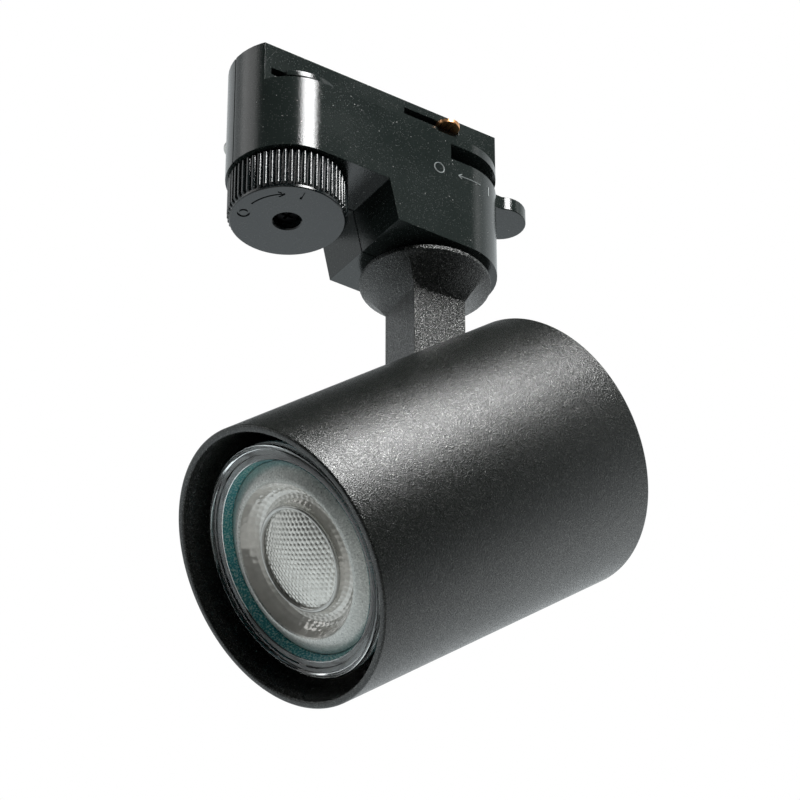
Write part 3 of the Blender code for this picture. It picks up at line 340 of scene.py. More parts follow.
def coated_wall():
    """The dichroic wall inside the rim: teal to blue, with frost."""
    look = Look("lamp_dichroic_wall", (0.05, 0.35, 0.42), 0.25, 0.35)
    drift = look.noise(110, 2.0)
    frost = look.noise(2600, 2.0)
    tint = look.mix(drift, (0.02, 0.2, 0.27), (0.08, 0.38, 0.34))
    look.set("Base Color", look.mix(look.map(frost, 0.5, 0.7, 0, 0.75), tint, (0.5, 0.58, 0.53)))
    look.set("Roughness", look.map(frost, 0.3, 0.7, 0.15, 0.4))
    look.set("Normal", look.bump(frost, 0.00006, 0.8))
    return look.material


def frosted_silver():
    """The sandblasted ring round the lens, with faint radial streaks."""
    look = Look("lamp_frosted_silver", (0.4, 0.41, 0.4), 0.34, 0.6)
    frost = look.noise(2400, 3.0, 0.6)
    streak = look.streaks(TUBE_AXIS, 60, 120)
    shade = look.mix(look.map(streak, 0.35, 0.65, 0.35, 0.65), (0.3, 0.305, 0.285), (0.5, 0.51, 0.48))
    look.set("Base Color", look.mix(look.map(frost, 0.45, 0.7, 0, 0.8), shade, (0.72, 0.73, 0.69)))
    look.set("Roughness", look.map(frost, 0.3, 0.7, 0.25, 0.45))
    look.set("Normal", look.bump(frost, 0.00009, 1.0, look.bump(streak, 0.00003, 0.5)))
    look.constant("Coat Weight", 0.5)
    look.constant("Coat Roughness", 0.05)
    return look.material


def moulded_lens(name, base, roughness, metallic):
    """Clear moulded optics over a bright holder: silvery, with a glassy skin."""
    look = Look(name, base, roughness, metallic)
    haze = look.noise(500, 3.0)
    look.set("Base Color", look.mix(haze, base, tuple(channel * 0.65 for channel in base)))
    look.set("Roughness", look.map(haze, 0.3, 0.7, roughness * 0.7, roughness * 1.4))
    look.set("Normal", look.bump(haze, 0.00003, 0.4))
    look.constant("Coat Weight", 1.0)
    look.constant("Coat Roughness", 0.03)
    return look.material


def circuit_board():
    """White solder mask with a faint mottling of traces beneath."""
    look = Look("lamp_board_mask", (0.85, 0.86, 0.83), 0.4)
    traces = look.noise(350, 1.0)
    mask, over_copper = (0.86, 0.87, 0.84), (0.76, 0.79, 0.76)
    look.set("Base Color", look.mix(look.map(traces, 0.48, 0.52, 0, 1), mask, over_copper))
    look.set("Normal", look.bump(traces, 0.00003, 0.5))
    return look.material


LOOKS = {
    "housing": moulded_plastic("housing_gloss_black", (0.0095, 0.0135, 0.0123), roughness=0.14, dust=0.1),
    "knob": moulded_plastic("knob_gloss_black", (0.0045, 0.0075, 0.008), roughness=0.15, dust=0.008),
    # The raised marks' lighter grey is painted highlight: it stands in for light catching their polished
    # edges.
    "marks_painted_highlight": moulded_plastic("marks_grey_painted_highlight", (0.2, 0.22, 0.22), roughness=0.35, dust=0.02),
    "mark": moulded_plastic("mark_black", (0.004, 0.004, 0.004), roughness=0.5, dust=0.02),
    "powder": powder_coat(
        "powder_black", (0.0045, 0.0057, 0.0047), roughness=0.3, grain=0.00007, glint=0.13
    ),
    "coarse": powder_coat(
        "powder_black_arm", (0.004, 0.0052, 0.0042), roughness=0.29, grain=0.00015, glint=0.18
    ),
    # Near-black is partly the knob screw's black oxide and partly painted shade, so the screw reads as the
    # dark of the knob's hole.
    "black_steel_painted_shade": plated_steel("black_oxide_painted_shade", (0.006, 0.006, 0.007), roughness=0.6),
    "steel": plated_steel("zinc_plate", (0.62, 0.62, 0.6), roughness=0.32),
    "copper": sprung_copper(),
    "ceramic": ceramic(),
    "brown": insulation("insulation_brown", (0.22, 0.09, 0.04)),
    "blue": insulation("insulation_blue", (0.05, 0.14, 0.42)),
    "glass": clear_glass(),
    "coated": coated_wall(),
    "frosted": frosted_silver(),
    "backing": rim_backing(),
    "facets": moulded_lens("lamp_facets", (0.86, 0.84, 0.78), roughness=0.12, metallic=0.25),
    "bead": moulded_lens("lamp_bead", (0.5, 0.5, 0.47), roughness=0.1, metallic=0.5),
    "pebbles": moulded_lens("lamp_pebbles", (0.68, 0.67, 0.62), roughness=0.24, metallic=0.6),
    "board": circuit_board(),
}


# ---------------------------------------------------------------- mesh helpers


def finish_mesh(name, mesh, look, smooth=True):
    mesh.materials.clear()
    mesh.materials.append(LOOKS[look])
    if smooth:
        mesh.shade_smooth()
        mesh.set_sharp_from_angle(angle=SMOOTH_ANGLE)
    obj = bpy.data.objects.new(name, mesh)
    bpy.context.scene.collection.objects.link(obj)
    return obj


def evaluated_copy(obj):
    graph = bpy.context.evaluated_depsgraph_get()
    return bpy.data.meshes.new_from_object(obj.evaluated_get(graph))


def cleaned(mesh):
    """Welds a triangulated mesh and joins its coplanar triangles."""
    work = bmesh.new()
    work.from_mesh(mesh)
    bmesh.ops.remove_doubles(work, verts=work.verts, dist=0.000002)
    bmesh.ops.dissolve_limit(
        work,
        angle_limit=math.radians(0.6),
        verts=work.verts,
        edges=work.edges,
        use_dissolve_boundaries=False,
    )
    bmesh.ops.recalc_face_normals(work, faces=work.faces)
    work.to_mesh(mesh)
    work.free()
    return mesh


def rounded(mesh, width, segments=2, angle=30):
    """The mesh with its sharp edges bevelled."""
    mesh.shade_smooth()
    carrier = bpy.data.objects.new("carrier", mesh)
    bpy.context.scene.collection.objects.link(carrier)
    bevel = carrier.modifiers.new("Bevel", "BEVEL")
    bevel.width = width
    bevel.segments = segments
    bevel.limit_method = "ANGLE"
    bevel.angle_limit = math.radians(angle)
    bevel.use_clamp_overlap = True
    weighted = carrier.modifiers.new("Weighted", "WEIGHTED_NORMAL")
    weighted.mode = "FACE_AREA"
    weighted.weight = 100
    weighted.keep_sharp = True
    made = evaluated_copy(carrier)
    bpy.data.objects.remove(carrier)
    return made


def stand_in(obj, body, slot, *nodes):
    """Puts a new piece on a body, in place of the CAD nodes that it shows in detail."""
    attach(obj, body)
    if nodes:
        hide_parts(*nodes)
    return obj


def refine(node, width, look, slot, segments=2):
    """A copy of a CAD node with its edges rounded, which then replaces it."""
    mesh = rounded(cleaned(NODES[node].data.copy()), width, segments)
    obj = finish_mesh(node + "_detail", mesh, look, smooth=False)
    return stand_in(obj, NODES[node]["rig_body"], slot, node)


def lathe_mesh(profile, steps=ROUND_STEPS, closed=False):
    """A mesh turned about Z from points of (radius, height). Points on the axis are joined there."""
    work = bmesh.new()
    rings = []
    for radius, height in profile:
        if radius < 1e-7:
            rings.append([work.verts.new((0, 0, height))] * steps)
            continue
        ring = []
        for i in range(steps):
            angle = 2 * math.pi * i / steps
            ring.append(work.verts.new((radius * math.cos(angle), radius * math.sin(angle), height)))
        rings.append(ring)
    pairs = list(zip(rings, rings[1:]))
    if closed:
        pairs.append((rings[-1], rings[0]))
    for upper, lower in pairs:
        for i in range(steps):
            j = (i + 1) % steps
            corners = []
            for corner in (upper[i], lower[i], lower[j], upper[j]):
                if corner not in corners:
                    corners.append(corner)
            if len(corners) > 2:
                work.faces.new(corners)
    bmesh.ops.recalc_face_normals(work, faces=work.faces)
    mesh = bpy.data.meshes.new("turned")
    work.to_mesh(mesh)
    work.free()
    return mesh


def arc_points(centre, radius, start, end, steps=6):
    points = []
    for i in range(steps + 1):
        angle = math.radians(start + (end - start) * i / steps)
        points.append((centre[0] + radius * math.cos(angle), centre[1] + radius * math.sin(angle)))
    return points


def box_mesh(low, high):
    low, high = Vector(low), Vector(high)
    work = bmesh.new()
    matrix = Matrix.Translation((low + high) / 2) @ Matrix.Diagonal((*(high - low), 1))
    bmesh.ops.create_cube(work, size=1, matrix=matrix)
    mesh = bpy.data.meshes.new("box")
    work.to_mesh(mesh)
    work.free()
    return mesh


def cut_mesh(mesh, cutters):
    """The mesh with other meshes cut out of it."""
    carrier = bpy.data.objects.new("carrier", mesh)
    bpy.context.scene.collection.objects.link(carrier)
    helpers = []
    for cutter in cutters:
        helper = bpy.data.objects.new("cutter", cutter)
        bpy.context.scene.collection.objects.link(helper)
        helpers.append(helper)
        modifier = carrier.modifiers.new("Cut", "BOOLEAN")
        modifier.operation = "DIFFERENCE"
        modifier.solver = "EXACT"
        modifier.object = helper
    made = evaluated_copy(carrier)
    for obj in [carrier, *helpers]:
        bpy.data.objects.remove(obj)
    return made


# ---------------------------------------------------------------- adapter


def adapter():
    for node in ("housing_near", "housing_far"):
        refine(node, 0.25 * MM, "housing", "housing", 3)
    refine("contact_lever", 0.25 * MM, "housing", "housing", 3)
    refine("lock_tab", 0.25 * MM, "housing", "housing", 2)
    for node in ("contact_near", "contact_far"):
        refine(node, 0.2 * MM, "copper", "copper", 3)


def knob_radius(angle, outer, depth, ribs):
    """The knob's radius at an angle: rounded crests with narrow valleys between them."""
    phase = (angle * ribs / (2 * math.pi)) % 1.0
    wave = abs(math.sin(math.pi * phase))
    return outer - depth * (1 - wave) ** 1.4


def lock_knob():
    low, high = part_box("lock_knob")[0].z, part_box("lock_knob")[1].z
    outer = (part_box("lock_knob")[1].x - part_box("lock_knob")[0].x) / 2
    ribs, per_rib = 56, 12
    depth = 0.75 * MM
    hole = 3.0 * MM
    edge = 0.5 * MM
    core = outer - depth - 0.05 * MM
    flange = outer - 0.5 * MM
    count = ribs * per_rib
    seat = core - 1.2 * MM
    hole_floor = low + 3.2 * MM
    chamfer = 0.25 * MM
    levels = [(high, seat, 0), (high, core, 0)]
    rib_end, flange_top, round_off = low + 1.1 * MM, low + 0.75 * MM, 0.2 * MM
    levels += [(high - edge, outer, 1), (rib_end, outer, 1), (flange_top, flange, 0)]
    levels += [(low + round_off, flange, 0), (low, flange - round_off, 0)]
    levels += [(low, hole + chamfer, 0), (low + chamfer, hole, 0)]
    levels += [(hole_floor, hole, 0), (hole_floor, 0, 0)]
    work = bmesh.new()
    rings = []
    for z, radius, ribbed in levels:
        if radius == 0:
            rings.append([work.verts.new((0, 0, z))] * count)
            continue
        ring = []
        for i in range(count):
            angle = 2 * math.pi * i / count
            place = knob_radius(angle, radius, depth, ribs) if ribbed else radius
            ring.append(work.verts.new((place * math.cos(angle), place * math.sin(angle), z)))
        rings.append(ring)
    top = rings[0]
    work.faces.new(top)
    for upper, lower in zip(rings, rings[1:]):
        for i in range(count):
            j = (i + 1) % count
            corners = list(dict.fromkeys((upper[i], lower[i], lower[j], upper[j])))
            work.faces.new(corners)
    bmesh.ops.recalc_face_normals(work, faces=work.faces)
    mesh = bpy.data.meshes.new("knob")
    work.to_mesh(mesh)
    work.free()
    mesh.transform(LOCK)
    mesh = cut_mesh(mesh, knob_marks(low))
    stand_in(finish_mesh("lock_knob_ribbed", mesh, "knob"), "lock", "knob", "lock_knob")


def ring_stroke(centre, radius, width, low, high):
    """A round groove's cutter."""
    inner, outer = radius - width / 2, radius + width / 2
    mesh = lathe_mesh([(outer, high), (outer, low), (inner, low), (inner, high)], SMALL_STEPS, closed=True)
    mesh.transform(Matrix.Translation((*centre, 0)))
    return mesh


def bar_stroke(start, end, width, low, high):
    """A straight groove's cutter."""
    start, end = Vector(start), Vector(end)
    along = end - start
    mesh = box_mesh((0, -width / 2, low), (along.length, width / 2, high))
    turn = Matrix.Rotation(math.atan2(along.y, along.x), 4, "Z")
    mesh.transform(Matrix.Translation((*start, 0)) @ turn)
    return mesh


def knob_marks(low):
    """A circle for unlocked, a bar for locked, and an arrow that bends from one to the other."""
    sink, out = low + 0.3 * MM, low - 1.0 * MM
    stroke = 0.5 * MM
    reach = 9.6 * MM
    off_angle, on_angle, arrow_angle, arrow_step = 164, 257, 186, 7
    circle = 1.15 * MM
    half_bar = 1.3 * MM
    barb_length = 1.7 * MM
    marks = [ring_stroke(polar(reach, off_angle), circle, stroke, out, sink)]
    bar_ends = polar(reach - half_bar, on_angle), polar(reach + half_bar, on_angle)
    marks.append(bar_stroke(*bar_ends, stroke, out, sink))
    stops = [polar(reach, arrow_angle + arrow_step * i) for i in range(8)]
    for start, end in zip(stops, stops[1:]):
        marks.append(bar_stroke(start, end, stroke * 0.8, out, sink))
    along = (Vector(stops[-1]) - Vector(stops[-2])).normalized()
    for turn in (148, -148):
        barb = Vector(stops[-1]) + Matrix.Rotation(math.radians(turn), 2) @ along * barb_length
        marks.append(bar_stroke(stops[-1], barb, stroke * 0.8, out, sink))
    for mark in marks:
        mark.transform(LOCK)
    return marks


def polar(radius, angle):
    return radius * math.cos(math.radians(angle)), radius * math.sin(math.radians(angle))


def side_marks():
    """Raised marks below the lever's slot: a circle for off, a bar for on, and an arrow to off."""
    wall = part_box("housing_near")[0].y
    round_x = ROTOR.translation.x
    radius = -wall
    stroke = 0.26 * MM
    level = -20.0 * MM

    def on_wall(x, z):
        """A point of the wall, which curves away past the round end's centre."""
        if x <= round_x:
            return Vector((x, wall, z))
        angle = -math.pi / 2 + (x - round_x) / radius
        return Vector((round_x + radius * math.cos(angle), radius * math.sin(angle), z))

    def stroke_curve(name, points):
        curve = bpy.data.curves.new(name, "CURVE")
        curve.dimensions = "3D"
        curve.bevel_depth = stroke / 2
        curve.bevel_resolution = 2
        curve.use_fill_caps = True
        spline = curve.splines.new("POLY")
        spline.points.add(len(points) - 1)
        for point, (x, z) in zip(spline.points, points):
            point.co = (*on_wall(x, z), 1)
        # Painted highlight: the raised marks are the housing's black plastic, drawn lighter grey for the
        # light on their edges.
        curve.materials.append(LOOKS["marks_painted_highlight"])
        obj = bpy.data.objects.new(name, curve)
        bpy.context.scene.collection.objects.link(obj)
        stand_in(obj, "adapter", "housing")

    off_x, arrow_x, on_x = 11.0 * MM, 22.0 * MM, 25.0 * MM
    circle = [(off_x + x, level + z) for x, z in arc_points((0, 0), 1.25 * MM, 0, 360, 28)]
    stroke_curve("mark_off", circle)
    arrow = [(arrow_x - i * 0.5 * MM, level) for i in range(13)]
    stroke_curve("mark_arrow", arrow)
    tip = arrow[-1]
    barb_back, barb_rise = 0.9 * MM, 0.6 * MM
    head = [(tip[0] + barb_back, level + barb_rise), tip, (tip[0] + barb_back, level - barb_rise)]
    stroke_curve("mark_arrow_head", head)
    half_bar = 1.2 * MM
    stroke_curve("mark_on", [(on_x, level + half_bar), (on_x, level - half_bar)])


# ---------------------------------------------------------------- arm


def swivel_arm():
    refine("swivel_arm", 0.35 * MM, "coarse", "powder_coat", 3)
    refine("swivel_spacer", 0.15 * MM, "mark", "nylon", 2)


# ---------------------------------------------------------------- head


def spot_tube():
    """The tube with rolled rims, its shoulder, and the arm's way through the top and back."""
    wall = 1.6 * MM
    lip = 0.5 * MM
    outer, inner = TUBE_RADIUS, TUBE_RADIUS - wall
    step_start, step_end = TUBE_FRONT + 2.4 * MM, TUBE_FRONT + 2.7 * MM
    stepped = inner - 0.12 * MM
    shoulder_front = TUBE_FRONT + 64.0 * MM
    shoulder_back = shoulder_front + 1.7 * MM
    shoulder = 21.0 * MM
    profile = arc_points((outer - lip, TUBE_REAR - lip), lip, 90, 0, 5)
    profile += arc_points((outer - lip, TUBE_FRONT + lip), lip, 0, -90, 5)
    profile += arc_points((inner + lip, TUBE_FRONT + lip), lip, -90, -180, 5)
    profile += [(inner, step_start), (stepped, step_end), (stepped, shoulder_front)]
    profile += [(shoulder, shoulder_front), (shoulder, shoulder_back), (inner, shoulder_back)]
    profile += arc_points((inner + lip, TUBE_REAR - lip), lip, 180, 90, 5)
    mesh = lathe_mesh(profile, TUBE_STEPS, closed=True)
    mesh.transform(TUBE_AXIS)
    slot_half = 7.0 * MM
    under = -7.2 * MM
    beyond = 100 * MM
    arm_way = box_mesh((under, -slot_half, under), (beyond, slot_half, beyond))
    ear_half = 9.8 * MM
    ear_way = box_mesh((-10 * MM, -ear_half, shoulder_front - MM), (7 * MM, ear_half, shoulder_back + MM))
    for cutter in (arm_way, ear_way):
        cutter.transform(HEAD)
    mesh = cut_mesh(mesh, [arm_way, ear_way])
    obj = finish_mesh("spot_tube_shell", mesh, "powder")
    stand_in(obj, "head", "powder_coat", "spot_tube")


def screw_mesh(radius, height, shank, length):
    """A pan-head screw with a cross recess. Its head's top is at Z = 0."""
    dome = 0.35 * height
    profile = [(0, 0)]
    profile += arc_points((radius - dome, -dome), dome, 90, 0, 5)
    profile += [(radius, -height), (shank, -height)]
    pitch = 0.6 * MM
    turns = max(2, int((length - height) / pitch))
    for i in range(turns):
        z = -height - i * pitch
        profile += [(shank, z - 0.15 * MM), (shank * 0.82, z - pitch * 0.75)]
    profile.append((0, -height - turns * pitch))
    mesh = lathe_mesh(profile, SMALL_STEPS)
    half, deep = radius * 0.56, height * 0.6
    arm = radius * 0.13
    along = box_mesh((-half, -arm, -deep), (half, arm, 1 * MM))
    across = box_mesh((-arm, -half, -deep * 0.98), (arm, half, 1.1 * MM))
    return cut_mesh(mesh, [along, across])


def screws():
    """Every screw whose head shows gets a cross recess and a thread."""
    heads = {
        "rear_cap_screw_1": ("head", HEAD, 2, 1),
        "rear_cap_screw_2": ("head", HEAD, 2, 1),
        "housing_screw_1": ("adapter", Matrix.Identity(4), 1, 1),
        "housing_screw_2": ("adapter", Matrix.Identity(4), 1, 1),
        "housing_screw_3": ("adapter", Matrix.Identity(4), 1, 1),
        "knob_screw": ("lock", Matrix.Identity(4), 2, -1),
    }
    for node, (body, matrix, axis, side) in heads.items():
        inverse = matrix.inverted()
        places = [inverse @ vertex.co for vertex in NODES[node].data.vertices]
        low = Vector([min(p[i] for p in places) for i in range(3)])
        high = Vector([max(p[i] for p in places) for i in range(3)])
        centre = (low + high) / 2
        across = (axis + 1) % 3
        radius = (high[across] - low[across]) / 2
        top = high[axis] if side > 0 else low[axis]
        centre[axis] = top
        toward = Vector((0, 0, 0))
        toward[axis] = side
        turn = toward.to_track_quat("Z", "Y").to_matrix().to_4x4()
        mesh = screw_mesh(radius, 1.6 * MM, 1.4 * MM, high[axis] - low[axis])
        mesh.transform(matrix @ Matrix.Translation(centre) @ turn)
        # The knob screw gets near-black steel: black oxide, darkened further as painted shade for its deep
        # hole.
        look = "black_steel_painted_shade" if node == "knob_screw" else "steel"
        stand_in(finish_mesh(node + "_cross", mesh, look), body, "steel", node)


def rear_cap():
    refine("rear_cap", 0.25 * MM, "powder", "powder_coat", 2)


# ---------------------------------------------------------------- lamp

WALL_OUTER = 21.4 * MM
WALL_INNER = 20.5 * MM
FROST_INNER = 16.4 * MM
DISC_EDGE = 10.7 * MM


def lamp():
    """The glass rim, its dichroic wall, the frosted ring, the faceted moat and the pebbled disc."""
    front = LAMP_FRONT
    place_lamp_piece("lamp_rim", rim_mesh(front), "glass", "lamp_glass")
    place_lamp_piece("lamp_rim_backing", backing_mesh(front), "backing", "lamp_glass")
    place_lamp_piece("lamp_coated_wall", wall_mesh(front), "coated", "lamp_glass")
    place_lamp_piece("lamp_frosted_ring", frosted_mesh(front), "frosted", "lamp_lens")
    place_lamp_piece("lamp_faceted_moat", faceted_moat(front), "facets", "lamp_lens")
    place_lamp_piece("lamp_disc_bead", bead_mesh(front), "bead", "lamp_lens")
    place_lamp_piece("lamp_pebbled_disc", pebbled_disc(front), "pebbles", "lamp_lens")
    body = place_lamp_piece("lamp_shell", shell_mesh(front), "ceramic", "lamp_glass")
    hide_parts("lamp_body", "lamp_lens")


def backing_mesh(front):
    """The ring of cement behind the glass rim."""
    outer = LAMP_RADIUS - 0.8 * MM
    near, back = front + 3.1 * MM, front + 4.6 * MM
    return lathe_mesh([(outer, near), (WALL_OUTER, near), (WALL_OUTER, back), (outer, back)], closed=True)


def wall_mesh(front):
    """The coated wall, which slopes in from the glass rim down to the frosted ring."""
    outer = WALL_OUTER - 0.1 * MM
    wall = [(outer, front + 0.8 * MM), (WALL_INNER + 0.1 * MM, front + 2.9 * MM)]
    wall += [(WALL_INNER + 0.3 * MM, front + 3.4 * MM), (outer, front + 3.0 * MM)]
    return lathe_mesh(wall, closed=True)


def frosted_mesh(front):
    """The frosted ring, which rises from the coated wall to the edge of the moat."""
    ring = [(WALL_INNER, front + 2.9 * MM), (WALL_INNER - 0.4 * MM, front + 2.6 * MM)]
    ring += [(FROST_INNER + 1.2 * MM, front + 0.9 * MM), (FROST_INNER + 0.3 * MM, front + 0.8 * MM)]
    ring += [(FROST_INNER, front + 1.1 * MM), (FROST_INNER, front + 2.6 * MM)]
    ring += [(WALL_INNER, front + 3.8 * MM)]
    return lathe_mesh(ring, closed=True)


def bead_mesh(front):
    """The round bead at the edge of the disc."""
    centre = (DISC_EDGE + 0.25 * MM, front + 2.2 * MM)
    return lathe_mesh(arc_points(centre, 0.5 * MM, 0, 330, 11), closed=True)


def rim_mesh(front):
    """The glass rim's section: a round lip, then two shallow rings stepped inwards."""
    lip = 0.7 * MM
    outer = LAMP_RADIUS
    rim = arc_points((outer - lip, front + lip), lip, 0, -100, 8)
    rim += [(outer - 1.1 * MM, front + 0.35 * MM), (outer - 1.4 * MM, front + 0.2 * MM)]
    rim += [(outer - 2.1 * MM, front + 0.25 * MM), (outer - 2.3 * MM, front + 0.55 * MM)]
    rim += [(outer - 2.9 * MM, front + 0.6 * MM)]
    rim += arc_points((WALL_OUTER + 0.3 * MM, front + 0.95 * MM), 0.3 * MM, -90, -180, 4)
    rim += [(WALL_OUTER, front + 2.8 * MM), (outer - 0.8 * MM, front + 2.9 * MM), (outer, front + 2.6 * MM)]
    return lathe_mesh(rim, 2 * ROUND_STEPS, closed=True)


def place_lamp_piece(name, mesh, look, slot):
    mesh.transform(TUBE_AXIS)
    return stand_in(finish_mesh(name, mesh, look), "lamp", slot)


def faceted_moat(front):
    """A ring-shaped dip made of pillow facets between the frosted ring and the disc."""
    columns, rows, per_facet = 54, 7, 4
    bottom = 2.6 * MM
    swell = 0.16 * MM

    def radius_at(u, v):
        return FROST_INNER + (DISC_EDGE - FROST_INNER) * v

    def depth_at(u, v):
        dip = max(0.0, math.sin(math.pi * v)) ** 0.8
        pillow = abs(math.sin(math.pi * columns * u) * math.sin(math.pi * rows * v))
        return front + 1.1 * MM + 1.3 * MM * v + bottom * dip - swell * pillow

    return polar_sheet(columns * per_facet, rows * per_facet, radius_at, depth_at, 0.4 * MM)


def pebbled_disc(front):
    """A gently domed disc covered in hexagonally packed pebbles."""
    radius, pitch, height = DISC_EDGE, 1.2 * MM, 0.19 * MM
    steps, levels = 220, 66

    def radius_at(u, v):
        return radius * (1 - v * 0.999)

    def depth_at(u, v):
        r, angle = radius_at(u, v), 2 * math.pi * u
        x, y = r * math.cos(angle), r * math.sin(angle)
        row = round(y / (pitch * 0.866))
        best = 1.0
        for near_row in (row - 1, row, row + 1):
            shift = pitch / 2 if near_row % 2 else 0
            column = round((x - shift) / pitch)
            dx, dy = x - shift - column * pitch, y - near_row * pitch * 0.866
            best = min(best, math.hypot(dx, dy) / (pitch * 0.577))
        dome = 1.7 * MM * (1 - (r / radius) ** 2)
        return front + 2.6 * MM - dome - height * (1 - best * best)

    return polar_sheet(steps, levels, radius_at, depth_at, 0.5 * MM)


def polar_sheet(steps, levels, radius_at, depth_at, thickness):
    """A round sheet given by its radius and depth, with a flat back so that it is closed."""
    work = bmesh.new()
    rings = []
    for level in range(levels + 1):
        v = level / levels
        ring = []
        for i in range(steps):
            u = i / steps
            r, angle = radius_at(u, v), 2 * math.pi * u
            ring.append(work.verts.new((r * math.cos(angle), r * math.sin(angle), depth_at(u, v))))
        rings.append(ring)
    back = []
    deepest = max(vertex.co.z for ring in rings for vertex in ring) + thickness
    for ring in (rings[-1], rings[0]):
        back.append([work.verts.new((vertex.co.x, vertex.co.y, deepest)) for vertex in ring])
    loop = rings + back
    for first, second in list(zip(loop, loop[1:])) + [(loop[-1], loop[0])]:
        for i in range(steps):
            j = (i + 1) % steps
            work.faces.new((first[i], second[i], second[j], first[j]))
    bmesh.ops.recalc_face_normals(work, faces=work.faces)
    mesh = bpy.data.meshes.new("sheet")
    work.to_mesh(mesh)
    work.free()
    return mesh


def shell_mesh(front):
    """The lamp's tapered body behind the rim."""
    rim = LAMP_RADIUS
    start, neck = front + 5.4 * MM, front + 37.0 * MM
    wall = 1.2 * MM
    base = 12.4 * MM
    outer = []
    steps = 14
    for i in range(steps + 1):
        part = i / steps
        outer.append((base + (rim - 1.0 * MM - base) * (1 - part) ** 0.8, start + (neck - start) * part))
    inner = [(radius - wall, height) for radius, height in outer]
    return lathe_mesh(list(reversed(outer)) + inner, 96, closed=True)


# ---------------------------------------------------------------- carried-over nodes


def carried_over():
    """Pieces whose CAD shape is right keep it, with a real material."""
    looks = {
        "steel": ["swivel_nipple", "swivel_nut", "swivel_washer", "tilt_bracket", "tilt_bolt", "tilt_nut"]
        + ["bracket_screw_1", "bracket_screw_2", "lampholder_screw_1", "lampholder_screw_2"]
        + ["lock_spring_washer", "lamp_pin_1", "lamp_pin_2"],
        "mark": ["friction_washer_1", "friction_washer_2"],
        "ceramic": ["lampholder", "lamp_base"],
        "board": ["lamp_board"],
        "brown": ["arm_wire_live", "holder_lead_live"],
        "blue": ["arm_wire_neutral", "holder_lead_neutral"],
    }
    for look, nodes in looks.items():
        for node in nodes:
            mesh = NODES[node].data
            mesh.materials.clear()
            mesh.materials.append(LOOKS[look])


# ---------------------------------------------------------------- studio

CAMERA_PLACE = Vector((-0.3652, -0.5570, -0.5202))
CAMERA_AZIMUTH = math.radians(33.95)
CAMERA_LIFT = math.radians(33.65)
SENSOR = 36.0
LENS = 172.78
SUBJECT = Vector((0.005, 0.0, -0.07))
FLOOR_LOW = (-1.8, -0.6, -1.02)
FLOOR_HIGH = (1.8, 2.4, -1.0)
SWEEP_TOWARD = (0.55, 0.83, 0)


def camera():
    data = bpy.data.cameras.new("camera")
    data.sensor_width = SENSOR
    data.lens = LENS
    data.clip_start = 0.01
    obj = bpy.data.objects.new("camera", data)
    obj.location = CAMERA_PLACE
    obj.rotation_euler = (math.pi / 2 + CAMERA_LIFT, 0, -CAMERA_AZIMUTH)
    bpy.context.scene.collection.objects.link(obj)
    bpy.context.scene.camera = obj


def direction(azimuth, elevation):
    a, e = math.radians(azimuth), math.radians(elevation)
    return Vector((math.sin(a) * math.cos(e), -math.cos(a) * math.cos(e), math.sin(e)))


def softbox(name, azimuth, elevation, distance, width, height, radiance):
    """A soft light of a given brightness, seen from the object in a direction."""
    data = bpy.data.lights.new(name, "AREA")
    data.shape = "RECTANGLE"
    data.size = width
    data.size_y = height
    data.energy = radiance * math.pi * width * height
    obj = bpy.data.objects.new(name, data)
    toward = direction(azimuth, elevation)
    obj.location = SUBJECT + toward * distance
    obj.rotation_euler = toward.to_track_quat("Z", "Y").to_euler()
    bpy.context.scene.collection.objects.link(obj)


def studio():
    floor = bpy.data.objects.new("floor", box_mesh(FLOOR_LOW, FLOOR_HIGH))
    pale = Look("floor_pale", (0.82, 0.82, 0.81), 0.7)
    pale.set("Base Color", pale.mix(pale.noise(3.0, 2.0), (0.82, 0.82, 0.81), (0.78, 0.78, 0.77)))
    pale.constant("Emission Color", (0.86, 0.95, 1.0, 1))
    pale.set("Emission Strength", pale.map(pale.axis("Y"), 0.1, 1.1, 0.0, 0.95))
    floor.data.materials.append(pale.material)
    bpy.context.scene.collection.objects.link(floor)
    softbox("key", azimuth=3, elevation=47, distance=0.9, width=0.30, height=0.50, radiance=27.5)
    softbox("side", azimuth=92, elevation=-8, distance=1.2, width=0.7, height=0.6, radiance=0.35)
    softbox("left", azimuth=-112, elevation=33, distance=1.2, width=0.6, height=0.6, radiance=1.4)
    softbox("fill", azimuth=52, elevation=38, distance=1.1, width=0.2, height=0.6, radiance=0.8)
    surround()


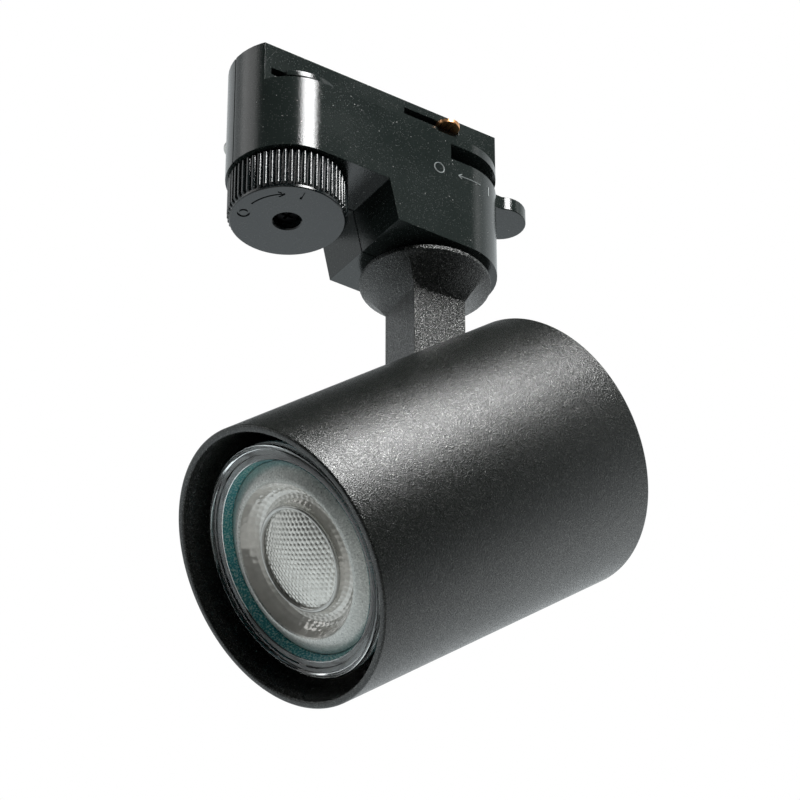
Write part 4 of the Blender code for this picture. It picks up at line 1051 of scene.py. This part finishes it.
def surround():
    """A white sweep behind the object, dark towards the front, and white to the camera everywhere."""
    world = bpy.data.worlds.new("studio")
    bpy.context.scene.world = world
    world.use_nodes = True
    tree = world.node_tree
    nodes, links = tree.nodes, tree.links
    nodes.clear()
    place = nodes.new("ShaderNodeTexCoord")
    behind = nodes.new("ShaderNodeVectorMath")
    behind.operation = "DOT_PRODUCT"
    behind.inputs[1].default_value = SWEEP_TOWARD
    links.new(place.outputs["Generated"], behind.inputs[0])
    split = nodes.new("ShaderNodeSeparateXYZ")
    links.new(place.outputs["Generated"], split.inputs[0])
    sweep = world_ramp(tree, behind.outputs["Value"], -0.3, 0.43, 0.015, 1.0)
    canopy = world_ramp(tree, split.outputs["Z"], 0.5, 0.88, 1.0, 0.06)
    both = nodes.new("ShaderNodeMath")
    both.operation = "MULTIPLY"
    links.new(sweep, both.inputs[0])
    links.new(canopy, both.inputs[1])
    lit = nodes.new("ShaderNodeBackground")
    lit.inputs["Color"].default_value = (0.93, 0.98, 1.0, 1)
    links.new(both.outputs["Value"], lit.inputs["Strength"])
    seen = nodes.new("ShaderNodeBackground")
    seen.inputs["Color"].default_value = (1, 1, 1, 1)
    path = nodes.new("ShaderNodeLightPath")
    mix = nodes.new("ShaderNodeMixShader")
    links.new(path.outputs["Is Camera Ray"], mix.inputs[0])
    links.new(lit.outputs[0], mix.inputs[1])
    links.new(seen.outputs[0], mix.inputs[2])
    out = nodes.new("ShaderNodeOutputWorld")
    links.new(mix.outputs[0], out.inputs["Surface"])


def world_ramp(tree, output, low, high, to_low, to_high):
    node = tree.nodes.new("ShaderNodeMapRange")
    node.interpolation_type = "SMOOTHSTEP"
    for name, value in (("From Min", low), ("From Max", high), ("To Min", to_low), ("To Max", to_high)):
        node.inputs[name].default_value = value
    tree.links.new(output, node.inputs["Value"])
    return node.outputs["Result"]


# ---------------------------------------------------------------- build

bpy.context.scene.view_settings.view_transform = "Standard"
camera()
studio()
adapter()
lock_knob()
side_marks()
swivel_arm()
spot_tube()
rear_cap()
screws()
lamp()
carried_over()
